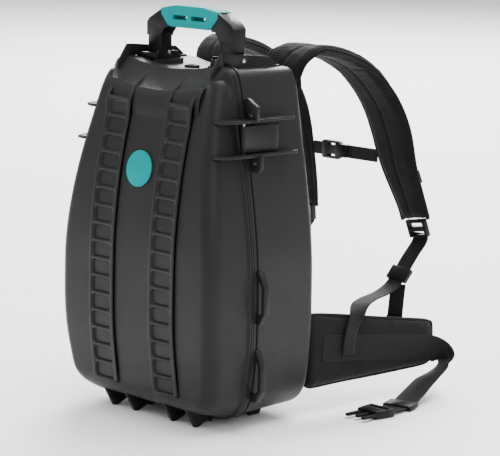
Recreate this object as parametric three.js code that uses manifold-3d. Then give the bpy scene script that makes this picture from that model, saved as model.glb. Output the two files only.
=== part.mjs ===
// Hard shell backpack: a hinged two-part case with a folding top handle, two side latches and a
// padded harness on its back. Millimetres, +Z up, front of the case towards -Y, floor at Z = 0.
import * as THREE from 'three';
import { mergeVertices } from 'three/addons/utils/BufferGeometryUtils.js';
import Module from 'manifold-3d';

const wasm = await Module();
wasm.setup();

// Case
const seamGap = 0.3;
const floorToRim = 10;
const rimHeight = 498;
const rimHalfWidth = 167;
const lidDepth = 80;
const baseDepth = 127;
const wall = 4;
const rimOut = 3;
const lidRimDeep = 8;
const baseRimDeep = 12;
const baseEdgeRadius = 14;
const baseDraft = 3;

// Ladder bands
const bandInner = 37.7;
const bandWidth = 52.6;
const railWidth = 6;
const bandRaise = 3.5;
const rungHeight = 5.5;
const rungSink = 0.8;
const cellPitch = 25.35;
const cellCount = 16;
const topRungHeight = 454.4;

// Feet, fins, loops and ears
const footTipDepth = 36;
const runnerThick = 6;
const rearFootFrom = 64;
const rearFootTo = 86;
const finThick = 4;
const finEnd = 88;
const earThick = 6;
const earHole = 4;
const loopLength = 75;
const loopOut = 16;
const loopBar = 7;
const loopThick = 10;
const loopHeights = { upper: 191.5, lower: 80 };

// Badge
const badgeRadius = 26;
const badgeThick = 3;
const badgeHeight = 361;

// Handle
const handleHalfWidth = 91.4;
const postWidth = 31;
const handleThick = 24;
const handleFront = 26;
const handleTop = 584;
const shoulderDrop = 27;
const gripHalfLength = 59;
const gripHeight = 31;
const gripOver = 1.5;
const windowLength = 30;
const windowHeight = 6;
const pivotHeight = 514;
const postFootThick = 19.4;
const postStep = 538;
const pinRadius = 3;
const bracketSeat = 505.2;
const bracketThick = 3;
const bracketGap = 1;
const bracketTop = 526;

// Hinge and latches
const hingeHeight = 5.2;
const knuckleRadius = 4.2;
const hingePinRadius = 1.6;
const hingeInner = 46;
const hingeLength = 34;
const latchPinOut = 149;
const latchPinDeep = 7;
const latchPinRadius = 1.8;
const latchThick = 4;
const latchReach = 64;
const latchRise = 4.5;

// Harness
const padThick = 22;
const padHalfWidth = 146;
const padFoot = 150;
const padHeight = 320;
const lumbarHalfWidth = 130;
const lumbarFoot = 36;
const lumbarHeight = 112;
const strapWidth = 75;
const strapEndWidth = 52;
const strapThick = 14;
const webWidth = 25;
const webThick = 1.8;
const beltWidth = 38;
const chestWidth = 20;
const wingThick = 14;
const fit = 0.3;
const buckleThick = 12;
const sliderThick = 5;
const lockLength = 28;

const V3 = (x, y, z) => new THREE.Vector3(x, y, z);
const rimTop = floorToRim + rimHeight;
const sides = [{ name: 'left', sign: -1 }, { name: 'right', sign: 1 }];

const finish = (color, roughness, metalness = 0) =>
  new THREE.MeshStandardMaterial({ color, roughness, metalness });
const shellGrey = finish(0x4c4c4d, 0.5);
const blackPlastic = finish(0x1e1e1f, 0.45);
const teal = finish(0x06aeb2, 0.45);
const steel = finish(0x9a9a9c, 0.3, 1);
const padCloth = finish(0x2f2f31, 0.9);
const webbing = finish(0x262628, 0.85);

// Solids: a closed geometry becomes a manifold, so that pieces can be joined and cut.
function solid(geometry) {
  const bare = geometry.index ? geometry.toNonIndexed() : geometry.clone();
  bare.deleteAttribute('normal');
  bare.deleteAttribute('uv');
  const merged = mergeVertices(bare, 1e-4);
  const vertProperties = Float32Array.from(merged.attributes.position.array);
  const triVerts = Uint32Array.from(merged.index.array);
  let volume = 0;
  const [a, b, c] = [V3(), V3(), V3()];
  for (let i = 0; i < triVerts.length; i += 3) {
    a.fromArray(vertProperties, 3 * triVerts[i]);
    b.fromArray(vertProperties, 3 * triVerts[i + 1]);
    c.fromArray(vertProperties, 3 * triVerts[i + 2]);
    volume += a.dot(b.cross(c));
  }
  if (volume < 0) triVerts.reverse();
  return new wasm.Manifold(new wasm.Mesh({ numProp: 3, vertProperties, triVerts }));
}

const join = (...parts) => parts.reduce((whole, part) => whole.add(part));
const cut = (whole, ...parts) => parts.reduce((left, part) => left.subtract(part), whole);

// Mesh of a solid without specks: points closer than the weld distance become one, and the
// longest edge of each needle of a triangle is turned to the other corner of its quad.
const weldDistance = 0.15;
const needleHeight = 0.03;
const turnPasses = 12;
function welded({ vertProperties, triVerts }) {
  const points = [];
  for (let i = 0; i < vertProperties.length; i += 3) points.push(V3().fromArray(vertProperties, i));
  const corners = (i) => [triVerts[i], triVerts[i + 1], triVerts[i + 2]];
  const chief = points.map((_, i) => i);
  const find = (i) => (chief[i] === i ? i : find(chief[i]));
  for (let i = 0; i < triVerts.length; i += 3) {
    corners(i).forEach((from, k, face) => {
      const to = face[(k + 1) % 3];
      if (points[from].distanceTo(points[to]) < weldDistance) chief[find(from)] = find(to);
    });
  }
  const faces = new Map();
  for (let i = 0; i < triVerts.length; i += 3) {
    const face = corners(i).map(find);
    const key = [...face].sort((a, b) => a - b).join();
    if (new Set(face).size === 3 && !faces.delete(key)) faces.set(key, face);
  }
  const kept = turned([...faces.values()], points);
  const used = [...new Set(kept.flat())];
  const order = new Map(used.map((point, i) => [point, i]));
  const geometry = new THREE.BufferGeometry().setFromPoints(used.map((i) => points[i]));
  return geometry.setIndex(kept.flat().map((i) => order.get(i)));
}

function turned(faces, points) {
  const key = (a, b) => a * points.length + b;
  for (let pass = 0; pass < turnPasses; pass += 1) {
    const owner = new Map();
    faces.forEach((face, f) => face.forEach((from, k) => owner.set(key(from, face[(k + 1) % 3]), f)));
    const changed = new Set();
    faces.forEach((face, f) => {
      const lengths = face.map((from, k) => points[from].distanceTo(points[face[(k + 1) % 3]]));
      const k = lengths.indexOf(Math.max(...lengths));
      const [a, b, v] = [face[k], face[(k + 1) % 3], face[(k + 2) % 3]];
      const spread = V3().subVectors(points[b], points[a]).cross(V3().subVectors(points[v], points[a]));
      const other = owner.get(key(b, a));
      if (spread.length() / lengths[k] > needleHeight || changed.has(f) || changed.has(other)) return;
      const w = faces[other].find((corner) => corner !== a && corner !== b);
      if (w === v || owner.has(key(v, w)) || owner.has(key(w, v))) return;
      [faces[f], faces[other]] = [[v, a, w], [w, b, v]];
      owner.set(key(v, w), other).set(key(w, v), f);
      changed.add(f).add(other);
    });
    if (changed.size === 0) break;
  }
  return faces;
}

const assembly = new THREE.Group();
function piece(name, material, body) {
  const whole = body.decompose().reduce((most, part) => (part.volume() > most.volume() ? part : most));
  const geometry = welded(whole.getMesh());
  const mesh = new THREE.Mesh(geometry, material);
  mesh.name = name;
  assembly.add(mesh);
}

// Axis-aligned block between two corners.
function block(from, to) {
  const size = V3().subVectors(to, from);
  const middle = V3().addVectors(from, to).multiplyScalar(0.5);
  const box = new THREE.BoxGeometry(Math.abs(size.x), Math.abs(size.y), Math.abs(size.z));
  return solid(box.translate(middle.x, middle.y, middle.z));
}

// Round rod between two points.
function rod(from, to, radius, segments = 12) {
  const along = V3().subVectors(to, from);
  const cylinder = new THREE.CylinderGeometry(radius, radius, along.length(), segments);
  cylinder.applyQuaternion(new THREE.Quaternion().setFromUnitVectors(V3(0, 1, 0), along.normalize()));
  const middle = V3().addVectors(from, to).multiplyScalar(0.5);
  return solid(cylinder.translate(middle.x, middle.y, middle.z));
}

// Plate with an outline given in two axes and extruded along the third.
const plateAxes = {
  yz: (u, v, w) => V3(w, u, v),
  xz: (u, v, w) => V3(u, w, v),
  xy: (u, v, w) => V3(u, v, w),
};
function plate(axes, outline, from, to) {
  const shape = new THREE.Shape(outline.map(([u, v]) => new THREE.Vector2(u, v)));
  const geometry = new THREE.ExtrudeGeometry(shape, { depth: to - from, bevelEnabled: false });
  const position = geometry.attributes.position;
  for (let i = 0; i < position.count; i += 1) {
    const p = plateAxes[axes](position.getX(i), position.getY(i), position.getZ(i) + from);
    position.setXYZ(i, p.x, p.y, p.z);
  }
  return solid(geometry);
}
const mirrorX = (outline, sign) => outline.map(([x, v]) => [sign * x, v]);

// Closed body through rings of equally many points; a first or last ring closes on its middle.
function loft(rings) {
  const count = rings[0].length;
  const middle = (ring) => ring.reduce((sum, p) => sum.add(p), V3()).divideScalar(count);
  const points = [];
  const triangle = (a, b, c) => points.push(a, b, c);
  for (let r = 0; r + 1 < rings.length; r += 1) {
    for (let i = 0; i < count; i += 1) {
      const j = (i + 1) % count;
      triangle(rings[r][i], rings[r][j], rings[r + 1][j]);
      triangle(rings[r][i], rings[r + 1][j], rings[r + 1][i]);
    }
  }
  const [first, last] = [rings[0], rings[rings.length - 1]];
  const [firstMiddle, lastMiddle] = [middle(first), middle(last)];
  for (let i = 0; i < count; i += 1) {
    const j = (i + 1) % count;
    triangle(first[j], first[i], firstMiddle);
    triangle(last[i], last[j], lastMiddle);
  }
  return solid(new THREE.BufferGeometry().setFromPoints(points));
}

// Body swept along a path, with a section of points in (side, normal) axes.
function sweep(path, sideAt, section, widthAt = () => 1) {
  const rings = path.map((point, k) => {
    const before = path[Math.max(k - 1, 0)];
    const after = path[Math.min(k + 1, path.length - 1)];
    const tangent = V3().subVectors(after, before).normalize();
    const side = sideAt(k / (path.length - 1)).clone();
    side.addScaledVector(tangent, -side.dot(tangent)).normalize();
    const normal = V3().crossVectors(side, tangent).normalize();
    const wide = widthAt(k / (path.length - 1));
    return section.map(([u, v]) => point.clone().addScaledVector(side, u * wide).addScaledVector(normal, v));
  });
  return loft(rings);
}
const flat = (width, thick) => {
  const [u, v] = [width / 2, thick / 2];
  return [[-u, -v], [u, -v], [u, v], [-u, v]];
};
const curve = (points, count) => new THREE.CatmullRomCurve3(points).getPoints(count);

// Smooth value of one column of a table at a place between its rows.
function sample(rows, key, column, at) {
  const last = rows.length - 1;
  if (at <= rows[0][key]) return rows[0][column];
  if (at >= rows[last][key]) return rows[last][column];
  const i = rows.findIndex((row) => row[key] > at) - 1;
  const slope = (k) => {
    const [a, b] = [rows[Math.max(k - 1, 0)], rows[Math.min(k + 1, last)]];
    return (b[column] - a[column]) / (b[key] - a[key]);
  };
  const span = rows[i + 1][key] - rows[i][key];
  const t = (at - rows[i][key]) / span;
  const [t2, t3] = [t * t, t * t * t];
  return (2 * t3 - 3 * t2 + 1) * rows[i][column] + (t3 - 2 * t2 + t) * span * slope(i)
    + (3 * t2 - 2 * t3) * rows[i + 1][column] + (t3 - t2) * span * slope(i + 1);
}

// Right half of the rim outline, from the bottom middle to the top middle: the case is widest
// at a third of its height, narrows to the shoulders and dips between the handle's brackets.
const rimOutline = [
  { out: 0, up: 0 }, { out: 0.36, up: 0 }, { out: 0.63, up: 0 }, { out: 0.79, up: 0.016 },
  { out: 0.9, up: 0.052 }, { out: 0.952, up: 0.106 }, { out: 0.991, up: 0.222 },
  { out: 1, up: 0.362 }, { out: 0.99, up: 0.482 }, { out: 0.94, up: 0.622 },
  { out: 0.868, up: 0.76 }, { out: 0.822, up: 0.843 }, { out: 0.788, up: 0.913 },
  { out: 0.76, up: 0.955 }, { out: 0.716, up: 0.986 }, { out: 0.635, up: 1 },
  { out: 0.5, up: 0.998 }, { out: 0.3, up: 0.987 }, { out: 0, up: 0.981 },
];
const rim = [...rimOutline, ...rimOutline.slice(1, -1).reverse().map((row) => ({ ...row, out: -row.out }))]
  .map((row) => ({ x: row.out * rimHalfWidth, z: floorToRim + row.up * rimHeight }));
const rimNormals = rim.map((_, i) => {
  const [a, b] = [rim[(i + rim.length - 1) % rim.length], rim[(i + 1) % rim.length]];
  return new THREE.Vector2(-(b.z - a.z), b.x - a.x).normalize();
});
const wallHalfWidthAt = (z) =>
  sample(rimOutline.slice(3, 15), 'up', 'out', (z - floorToRim) / rimHeight) * rimHalfWidth - rimOut;

// Depth of the lid's front face: fullest at a quarter of the height, leaning back to the top.
const lidProfile = [
  { up: 0, deep: 0.82 }, { up: 0.11, deep: 0.9 }, { up: 0.24, deep: 0.99 }, { up: 0.38, deep: 1 },
  { up: 0.53, deep: 0.965 }, { up: 0.7, deep: 0.825 }, { up: 0.865, deep: 0.585 }, { up: 1, deep: 0.33 },
];
const faceDepth = (z) => sample(lidProfile, 'up', 'deep', (z - floorToRim) / rimHeight) * lidDepth;

// Edge rounding of the lid at its top, sides and bottom: slope of the straight part, then the
// rounding's reach over the face and into the depth.
const lidEdge = {
  top: { draft: 24, reach: 40, into: 13 },
  side: { draft: 1, reach: 20, into: 24 },
  bottom: { draft: 8, reach: 38, into: 40 },
};
const edgeValue = (normal, column) => {
  const vertical = normal.y > 0 ? lidEdge.bottom : lidEdge.top;
  return normal.y ** 2 * vertical[column] + normal.x ** 2 * lidEdge.side[column];
};

function rimRing(inset, y) {
  return rim.map((p, i) => V3(p.x + rimNormals[i].x * inset, y, p.z + rimNormals[i].y * inset));
}

// Rings of the lid from the seam to the middle of the face, in by a thickness for its inside.
function lidRings(thickness, from, arcSteps, faceShares) {
  const middle = V3(0, 0, floorToRim + rimHeight / 2);
  const start = rimRing(rimOut + thickness, from);
  const rows = [];
  for (let k = 0; k <= arcSteps; k += 1) {
    const angle = (k / arcSteps) * (Math.PI / 2);
    rows.push(rim.map((p, i) => {
      const n = rimNormals[i];
      const [draft, reach] = [edgeValue(n, 'draft'), edgeValue(n, 'reach')];
      const end = p.z + n.y * (rimOut + draft + reach);
      const deep = faceDepth(end);
      const into = Math.min(edgeValue(n, 'into'), deep - lidRimDeep - rimOut);
      const inset = rimOut + thickness + draft + (reach - thickness) * (1 - Math.cos(angle));
      const depth = deep - into + (into - thickness) * Math.sin(angle);
      return V3(p.x + n.x * inset, -depth, p.z + n.y * inset);
    }));
  }
  const edge = rows[rows.length - 1];
  const face = faceShares.map((share) => edge.map((p) => {
    const q = V3().lerpVectors(middle, p, share);
    return q.setY(thickness - faceDepth(q.z));
  }));
  return [start, ...rows, ...face];
}

// Rail of a ladder band with its foot, as an outline in (depth, height).
function railOutline() {
  const steps = 15;
  const top = rimTop - 0.019 * rimHeight - 6;
  const bottom = floorToRim + 52;
  const outer = [];
  for (let k = 0; k <= steps; k += 1) {
    const z = top + (bottom - top) * (k / steps);
    outer.push([-(railDepth(z) + bandRaise), z]);
  }
  const foot = [[-footTipDepth - 3, 0], [-footTipDepth + 4, 0], [-lidRimDeep - 1, 9], [-lidRimDeep - 1, 30]];
  return [...outer, ...foot, [-24, 60], [-24, top - 60], [-3, top - 30], [-3, top]];
}
// Depth of the front surface on a band, with the slope that leads up to the lip.
function railDepth(z) {
  const lip = rimTop - 0.019 * rimHeight - rimOut;
  const { draft, reach, into } = lidEdge.top;
  const faceEnd = lip - draft - reach;
  if (z <= faceEnd) return faceDepth(z);
  const deep = faceDepth(faceEnd);
  const slopeEnd = lip - draft;
  if (z >= slopeEnd) {
    const t = (z - slopeEnd) / draft;
    return (1 - t) * (deep - into) + t * lidRimDeep;
  }
  const c = 1 - (slopeEnd - z) / reach;
  return deep - into + into * Math.sqrt(1 - c * c);
}

// Rungs of a band as one plate a little lower than its rails, and the cells cut into it.
const cellWiden = 1;
const cellSink = 0.6;
const bandSteps = 13;
function bandRungs(sign) {
  const [from, to] = [bandInner + railWidth / 2, bandInner + bandWidth - railWidth / 2];
  const high = topRungHeight + rungHeight / 2;
  const low = topRungHeight - cellCount * cellPitch - rungHeight / 2;
  const heights = Array.from({ length: bandSteps + 1 }, (_, k) => high + (low - high) * (k / bandSteps));
  const front = heights.map((z) => [-(railDepth(z) + bandRaise - rungSink), z]);
  const back = heights.map((z) => [-(railDepth(z) - wall - 2.5), z]).reverse();
  return plate('yz', [...front, ...back], ...[sign * from, sign * to].sort((p, q) => p - q));
}
function bandCells(sign) {
  const from = bandInner + railWidth - cellWiden;
  const to = bandInner + bandWidth - railWidth + cellWiden;
  return Array.from({ length: cellCount }, (_, k) => {
    const high = topRungHeight - k * cellPitch - rungHeight / 2;
    const low = high - cellPitch + rungHeight;
    const outside = -(lidDepth + 2 * bandRaise);
    const outline = [
      [-(railDepth(low) - cellSink), low], [-(railDepth(high) - cellSink), high], [outside, high], [outside, low],
    ];
    return plate('yz', outline, ...[sign * from, sign * to].sort((p, q) => p - q));
  });
}
function lidBands() {
  const rail = railOutline();
  return sides.flatMap(({ sign }) => [
    bandRungs(sign),
    ...[bandInner, bandInner + bandWidth - railWidth].map((x) =>
      plate('yz', rail, ...[sign * x, sign * (x + railWidth)].sort((p, q) => p - q))),
  ]);
}

// Side fins, seen from above: they guard the latch, and taper into the lid's round edge.
const lidFins = [
  { height: 437, out: 156, outline: [[96, -20], [116, -36], [131, -45], [146, -40], [154, -25], [156, -8]] },
  { height: 390, out: 163, outline: [[103, -28], [123, -46], [139, -55], [153, -52], [161, -36], [163, -10]] },
];
const finPlate = (outline, sign, height) =>
  plate('xy', mirrorX(outline, sign), height - finThick / 2, height + finThick / 2);

function badgeFrame() {
  const step = 10;
  const lean = (faceDepth(badgeHeight + step) - faceDepth(badgeHeight - step)) / (2 * step);
  const outward = V3(0, -1, -lean).normalize();
  const seat = V3(0, -faceDepth(badgeHeight), badgeHeight).addScaledVector(outward, -0.6);
  return { outward, seat };
}

const lidKnuckles = [{ from: 0.34, to: 0.66 }];
const baseKnuckles = [{ from: 0, to: 0.33 }, { from: 0.67, to: 1 }];
function knuckle({ from, to }, sign, y) {
  const [x0, x1] = [from, to].map((share) => sign * (hingeInner + share * hingeLength));
  const barrel = rod(V3(x0, 0, hingeHeight), V3(x1, 0, hingeHeight), knuckleRadius);
  const web = block(V3(x0, y * 0.4, hingeHeight), V3(x1, y * 10, floorToRim + rimOut + 2));
  return join(barrel, cut(web, rod(V3(x0, 0, hingeHeight), V3(x1, 0, hingeHeight), 1)));
}
const hingeBore = (sign) => rod(
  V3(sign * (hingeInner - 4), 0, hingeHeight),
  V3(sign * (hingeInner + hingeLength + 4), 0, hingeHeight),
  hingePinRadius + fit,
);

function lidShell() {
  const rimStart = rimRing(0, -seamGap);
  const outer = loft([
    rimStart, rimRing(0, -lidRimDeep), ...lidRings(0, -lidRimDeep - 1, 5, [0.72, 0.45, 0.2]),
  ]);
  const cavity = loft(lidRings(wall, 1, 3, [0.6, 0.3]));
  const seatCut = badgeFrame();
  const fins = lidFins.flatMap(({ height, out, outline }) => sides.map(({ sign }) =>
    finPlate([...outline, [out, -seamGap], [outline[0][0], -seamGap]], sign, height)));
  const cheeks = sides.map(({ sign }) => {
    const x = sign * (handleHalfWidth + bracketGap + 6);
    const outline = [[-24, 490], [-24, 500], [-6, bracketTop], [-seamGap, bracketTop], [-seamGap, 490]];
    return plate('yz', outline, x - bracketThick / 2, x + bracketThick / 2);
  });
  const cells = sides.flatMap(({ sign }) => bandCells(sign));
  let body = cut(join(outer, ...lidBands(), ...fins, ...cheeks), cavity, ...cells);
  sides.forEach(({ sign }) => {
    baseKnuckles.forEach(({ from, to }) => {
      const room = 0.4;
      const x0 = sign * (hingeInner + from * hingeLength - room);
      const x1 = sign * (hingeInner + to * hingeLength + room);
      body = cut(body, rod(V3(x0, 0, hingeHeight), V3(x1, 0, hingeHeight), knuckleRadius + 1));
    });
    body = join(body, ...lidKnuckles.map((row) => knuckle(row, sign, -1)));
    body = cut(body, hingeBore(sign));
    body = cut(body, rod(
      V3(sign * latchPinOut, -latchPinDeep, lidFins[1].height - finThick),
      V3(sign * latchPinOut, -latchPinDeep, lidFins[0].height + finThick),
      latchPinRadius + fit,
    ));
  });
  const pocket = rod(
    seatCut.seat,
    seatCut.seat.clone().addScaledVector(seatCut.outward, 12),
    badgeRadius + fit,
    32,
  );
  return cut(body, pocket);
}

function baseRings(thickness, from) {
  const radius = baseEdgeRadius;
  const start = [rimRing(rimOut + thickness, from)];
  for (let k = 0; k <= 3; k += 1) {
    const angle = (k / 3) * (Math.PI / 2);
    const inset = rimOut + baseDraft + thickness + (radius - thickness) * (1 - Math.cos(angle));
    start.push(rimRing(inset, baseDepth - radius + (radius - thickness) * Math.sin(angle)));
  }
  return start;
}

// Room that the pieces on the base's sides leave for its wall and rim.
const baseRoom = () => loft([
  rimRing(-fit, -1), rimRing(-fit, baseRimDeep + fit), ...baseRings(-fit, baseRimDeep + 1.5),
]);

// Strap loops, like a letter C, on the base rim.
function strapLoop(sign, height) {
  const root = wallHalfWidthAt(height);
  const [low, high] = [height - loopLength / 2, height + loopLength / 2];
  const out = root + rimOut + loopOut;
  const outline = [
    [root - 2, low], [root + 8, low], [out, low + 17], [out, high - 20], [root + 8, high], [root - 2, high],
  ];
  const slot = [
    [out - loopBar - 7, low + 11], [out - loopBar, low + 18], [out - loopBar, high - 21], [out - loopBar - 7, high - 11],
  ];
  const [y0, y1] = [4, 4 + loopThick];
  return cut(
    plate('xz', mirrorX(outline, sign), y0, y1),
    plate('xz', mirrorX(slot, sign), -20, y1 + 20),
    baseRoom(),
  );
}

// Latch guards on the base: a fin behind the lid's fin, and an ear with a padlock hole.
const ears = [
  { label: 'upper', hole: 147, holeUp: 446, outline: [[116, 437], [159, 437], [159, 457], [139, 468], [132, 465], [116, 464]] },
  { label: 'lower', hole: 156.5, holeUp: 377, outline: [[126, 390], [168, 390], [168, 372], [163, 366], [126, 366]] },
];
function latchGuard(sign, { height, out }, { hole, holeUp, outline }) {
  const fin = [[100, seamGap], [out, seamGap], [out, finEnd - 4], [out - 4, finEnd], [100, finEnd + 6]];
  return cut(
    join(finPlate(fin, sign, height), plate('xz', mirrorX(outline, sign), 8, 8 + earThick)),
    rod(V3(sign * hole, 0, holeUp), V3(sign * hole, 30, holeUp), earHole),
    baseRoom(),
  );
}

function runner(x) {
  const outline = [
    [baseRimDeep - 6, floorToRim + 12], [baseRimDeep, 6], [rearFootFrom, 4], [rearFootFrom + 2, 0],
    [rearFootTo, 0], [rearFootTo + 14, 24], [rearFootTo + 14, 30], [baseRimDeep - 6, 30],
  ];
  return plate('yz', outline, x - runnerThick / 2, x + runnerThick / 2);
}

function baseShell() {
  const rings = [
    rimRing(0, seamGap), rimRing(0, 4.5), rimRing(2.5, 5.5), rimRing(2.5, 7), rimRing(0, 8),
    rimRing(0, baseRimDeep), ...baseRings(0, baseRimDeep + 1.5),
  ];
  const adds = [];
  sides.forEach(({ sign }) => {
    [bandInner + railWidth / 2, bandInner + bandWidth - railWidth / 2].forEach((x) => adds.push(runner(sign * x)));
    bracketFeet.forEach(({ from, to, end }) => adds.push(block(
      V3(sign * from, baseRimDeep, rimTop - 26),
      V3(sign * to, end, bracketSeat),
    )));
    const keeper = latchPinOut - latchThick - 1;
    adds.push(block(V3(sign * 110, 22, 398), V3(sign * keeper, 34, 427)));
  });
  adds.push(rod(V3(valve.x, valve.y, 484), V3(valve.x, valve.y, valve.seat), valve.radius + 2, 20));
  adds.push(block(V3(topLoop.x - 9, topLoop.y - 5, 484), V3(topLoop.x + 9, topLoop.y + 5, topLoop.seat)));
  let body = cut(join(loft(rings), ...adds), loft(baseRings(wall, -1)));
  sides.forEach(({ sign }) => {
    lidKnuckles.forEach(({ from, to }) => {
      const room = 0.4;
      const x0 = sign * (hingeInner + from * hingeLength - room);
      const x1 = sign * (hingeInner + to * hingeLength + room);
      body = cut(body, rod(V3(x0, 0, hingeHeight), V3(x1, 0, hingeHeight), knuckleRadius + 1));
    });
    body = cut(join(body, ...baseKnuckles.map((row) => knuckle(row, sign, 1))), hingeBore(sign));
  });
  return body;
}

// Raised strips on top of the base, on which the brackets' inner and outer plates stand.
const bracketInner = handleHalfWidth - postWidth - bracketGap;
const bracketOuter = handleHalfWidth + bracketGap + 4.5;
const bracketFeet = [
  { from: bracketInner - bracketThick - 3, to: bracketInner, end: 64 },
  { from: bracketOuter - 4, to: bracketOuter + bracketThick + 2, end: 106 },
];

// Small fittings on top of the base.
const valve = { x: 4, y: 28, radius: 11, seat: 496, thick: 6 };
const topLoop = { x: 40, y: 36, seat: 498, radius: 6, wire: 1.6 };

function loopBody() {
  const count = 8;
  const points = [V3(topLoop.x - topLoop.radius, topLoop.y, topLoop.seat + fit)];
  for (let k = 0; k <= count; k += 1) {
    const angle = Math.PI * (1 - k / count);
    const [c, s] = [Math.cos(angle), Math.sin(angle)];
    points.push(V3(topLoop.x + topLoop.radius * c, topLoop.y, topLoop.seat + 4 + topLoop.radius * s));
  }
  points.push(V3(topLoop.x + topLoop.radius, topLoop.y, topLoop.seat + fit));
  const sections = 6;
  const circle = Array.from({ length: sections }, (_, i) => {
    const angle = (2 * Math.PI * i) / sections;
    return [topLoop.wire * Math.cos(angle), topLoop.wire * Math.sin(angle)];
  });
  return sweep(points, () => V3(0, 1, 0), circle);
}

// Handle: two posts joined by a bar inside the grip, folding back on two pins.
const handleY = handleFront + handleThick / 2;
const handleOutline = (sign) => {
  const [out, inner] = [handleHalfWidth, handleHalfWidth - postWidth];
  const shoulder = handleTop - shoulderDrop;
  const gripLow = handleTop - gripHeight;
  return mirrorX([
    [inner, postStep], [out, postStep], [out, shoulder], [out - 5, shoulder + 6],
    [gripHalfLength - 2, handleTop - 5], [gripHalfLength - 12, handleTop - 16],
    [gripHalfLength - 14, gripLow - 2], [inner - 8, gripLow - 2], [inner, gripLow - 12],
  ], sign);
};
const coreSize = { thick: 10, low: handleTop - 12, high: handleTop - 5 };

function handleFrame() {
  const posts = sides.map(({ sign }) => plate('xz', handleOutline(sign), handleFront, handleFront + handleThick));
  const feet = sides.map(({ sign }) => {
    const across = [sign * (handleHalfWidth - postWidth + 0.8), sign * (handleHalfWidth - 0.8)];
    const half = postFootThick / 2;
    return join(
      block(V3(across[0], handleY - half, pivotHeight), V3(across[1], handleY + half, postStep + 1)),
      rod(V3(across[0], handleY, pivotHeight), V3(across[1], handleY, pivotHeight), half, 16),
    );
  });
  const core = block(
    V3(-gripHalfLength - 2, handleY - coreSize.thick / 2, coreSize.low),
    V3(gripHalfLength + 2, handleY + coreSize.thick / 2, coreSize.high),
  );
  const bores = sides.map(({ sign }) => rod(
    V3(sign * (handleHalfWidth - postWidth - 5), handleY, pivotHeight),
    V3(sign * (handleHalfWidth + 5), handleY, pivotHeight),
    pinRadius + fit,
  ));
  const around = plate('xz', gripOutline(2 * fit), handleFront - 1, handleFront + handleThick + 1);
  return cut(join(cut(join(...posts, ...feet), around), core), ...bores);
}

// Grip seen from the front, grown by a clearance for the posts' ends.
function gripOutline(grow) {
  const half = [
    [gripHalfLength - 20, handleTop - gripHeight - grow], [gripHalfLength - 14 + grow, handleTop - gripHeight + 2],
    [gripHalfLength + grow, handleTop - 14], [gripHalfLength + grow, handleTop - 5],
    [gripHalfLength / 2, handleTop + grow],
  ];
  return [...half, ...half.map(([x, z]) => [-x, z]).reverse()];
}

function handleGrip() {
  const [y0, y1] = [handleFront - gripOver, handleFront + handleThick + gripOver];
  const windows = sides.map(({ sign }) => {
    const [x0, x1] = [4, 4 + windowLength];
    const low = handleTop - 20;
    return block(V3(sign * x0, y0 - 1, low), V3(sign * x1, y1 + 1, low + windowHeight));
  });
  const channel = block(
    V3(-gripHalfLength - 5, handleY - coreSize.thick / 2 - fit, coreSize.low - fit),
    V3(gripHalfLength + 5, handleY + coreSize.thick / 2 + fit, coreSize.high + fit),
  );
  return cut(plate('xz', gripOutline(0), y0, y1), ...windows, channel);
}

function bracket(sign) {
  const [outerIn, innerOut] = [bracketOuter, bracketInner];
  const low = bracketSeat + fit;
  const front = baseRimDeep + 2;
  const overRim = rimTop + 2 * fit;
  const outerPlate = [
    [0.5, overRim], [0.5, bracketTop], [88, bracketTop - 8], [104, low], [front, low], [front, overRim],
  ];
  const innerPlate = [[front, low], [front + 4, bracketTop - 8], [56, bracketTop - 10], [62, low]];
  const across = (from, to) => [sign * from, sign * to].sort((a, b) => a - b);
  const outer = plate('yz', outerPlate, ...across(outerIn, outerIn + bracketThick));
  const inner = plate('yz', innerPlate, ...across(innerOut - bracketThick, innerOut));
  const stop = block(
    V3(sign * (innerOut - 1), front, low),
    V3(sign * (outerIn + 1), handleFront - bracketGap, bracketTop - 12),
  );
  const spacer = block(
    V3(sign * (handleHalfWidth + bracketGap), handleY - 8, low),
    V3(sign * (outerIn + 1), handleY + 8, bracketTop - 6),
  );
  const bore = rod(
    V3(sign * (innerOut - 20), handleY, pivotHeight),
    V3(sign * (outerIn + 20), handleY, pivotHeight),
    pinRadius + fit,
  );
  return cut(join(outer, inner, stop, spacer), bore);
}

// Latch: a plate hung on a pin between the lid's fins, its finger tab over the base.
function latch(sign) {
  const low = lidFins[1].height + finThick / 2 + 1.5;
  const high = lidFins[0].height - finThick / 2 - latchRise;
  const out = latchPinOut + latchThick / 2 + 1;
  const outline = [
    [latchPinOut - 1, -latchPinDeep], [out, -latchPinDeep - 2], [out, 40], [out + 3, 46],
    [out + 3, latchReach - latchPinDeep - 4], [out, latchReach - latchPinDeep],
    [out - latchThick, latchReach - latchPinDeep], [out - latchThick, -latchPinDeep],
  ];
  const barrel = rod(V3(sign * latchPinOut, -latchPinDeep, low), V3(sign * latchPinOut, -latchPinDeep, high), 4);
  const bore = rod(
    V3(sign * latchPinOut, -latchPinDeep, low - 1),
    V3(sign * latchPinOut, -latchPinDeep, high + 1),
    latchPinRadius + fit,
  );
  return cut(join(plate('xy', mirrorX(outline, sign), low, high), barrel), bore);
}

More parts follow.
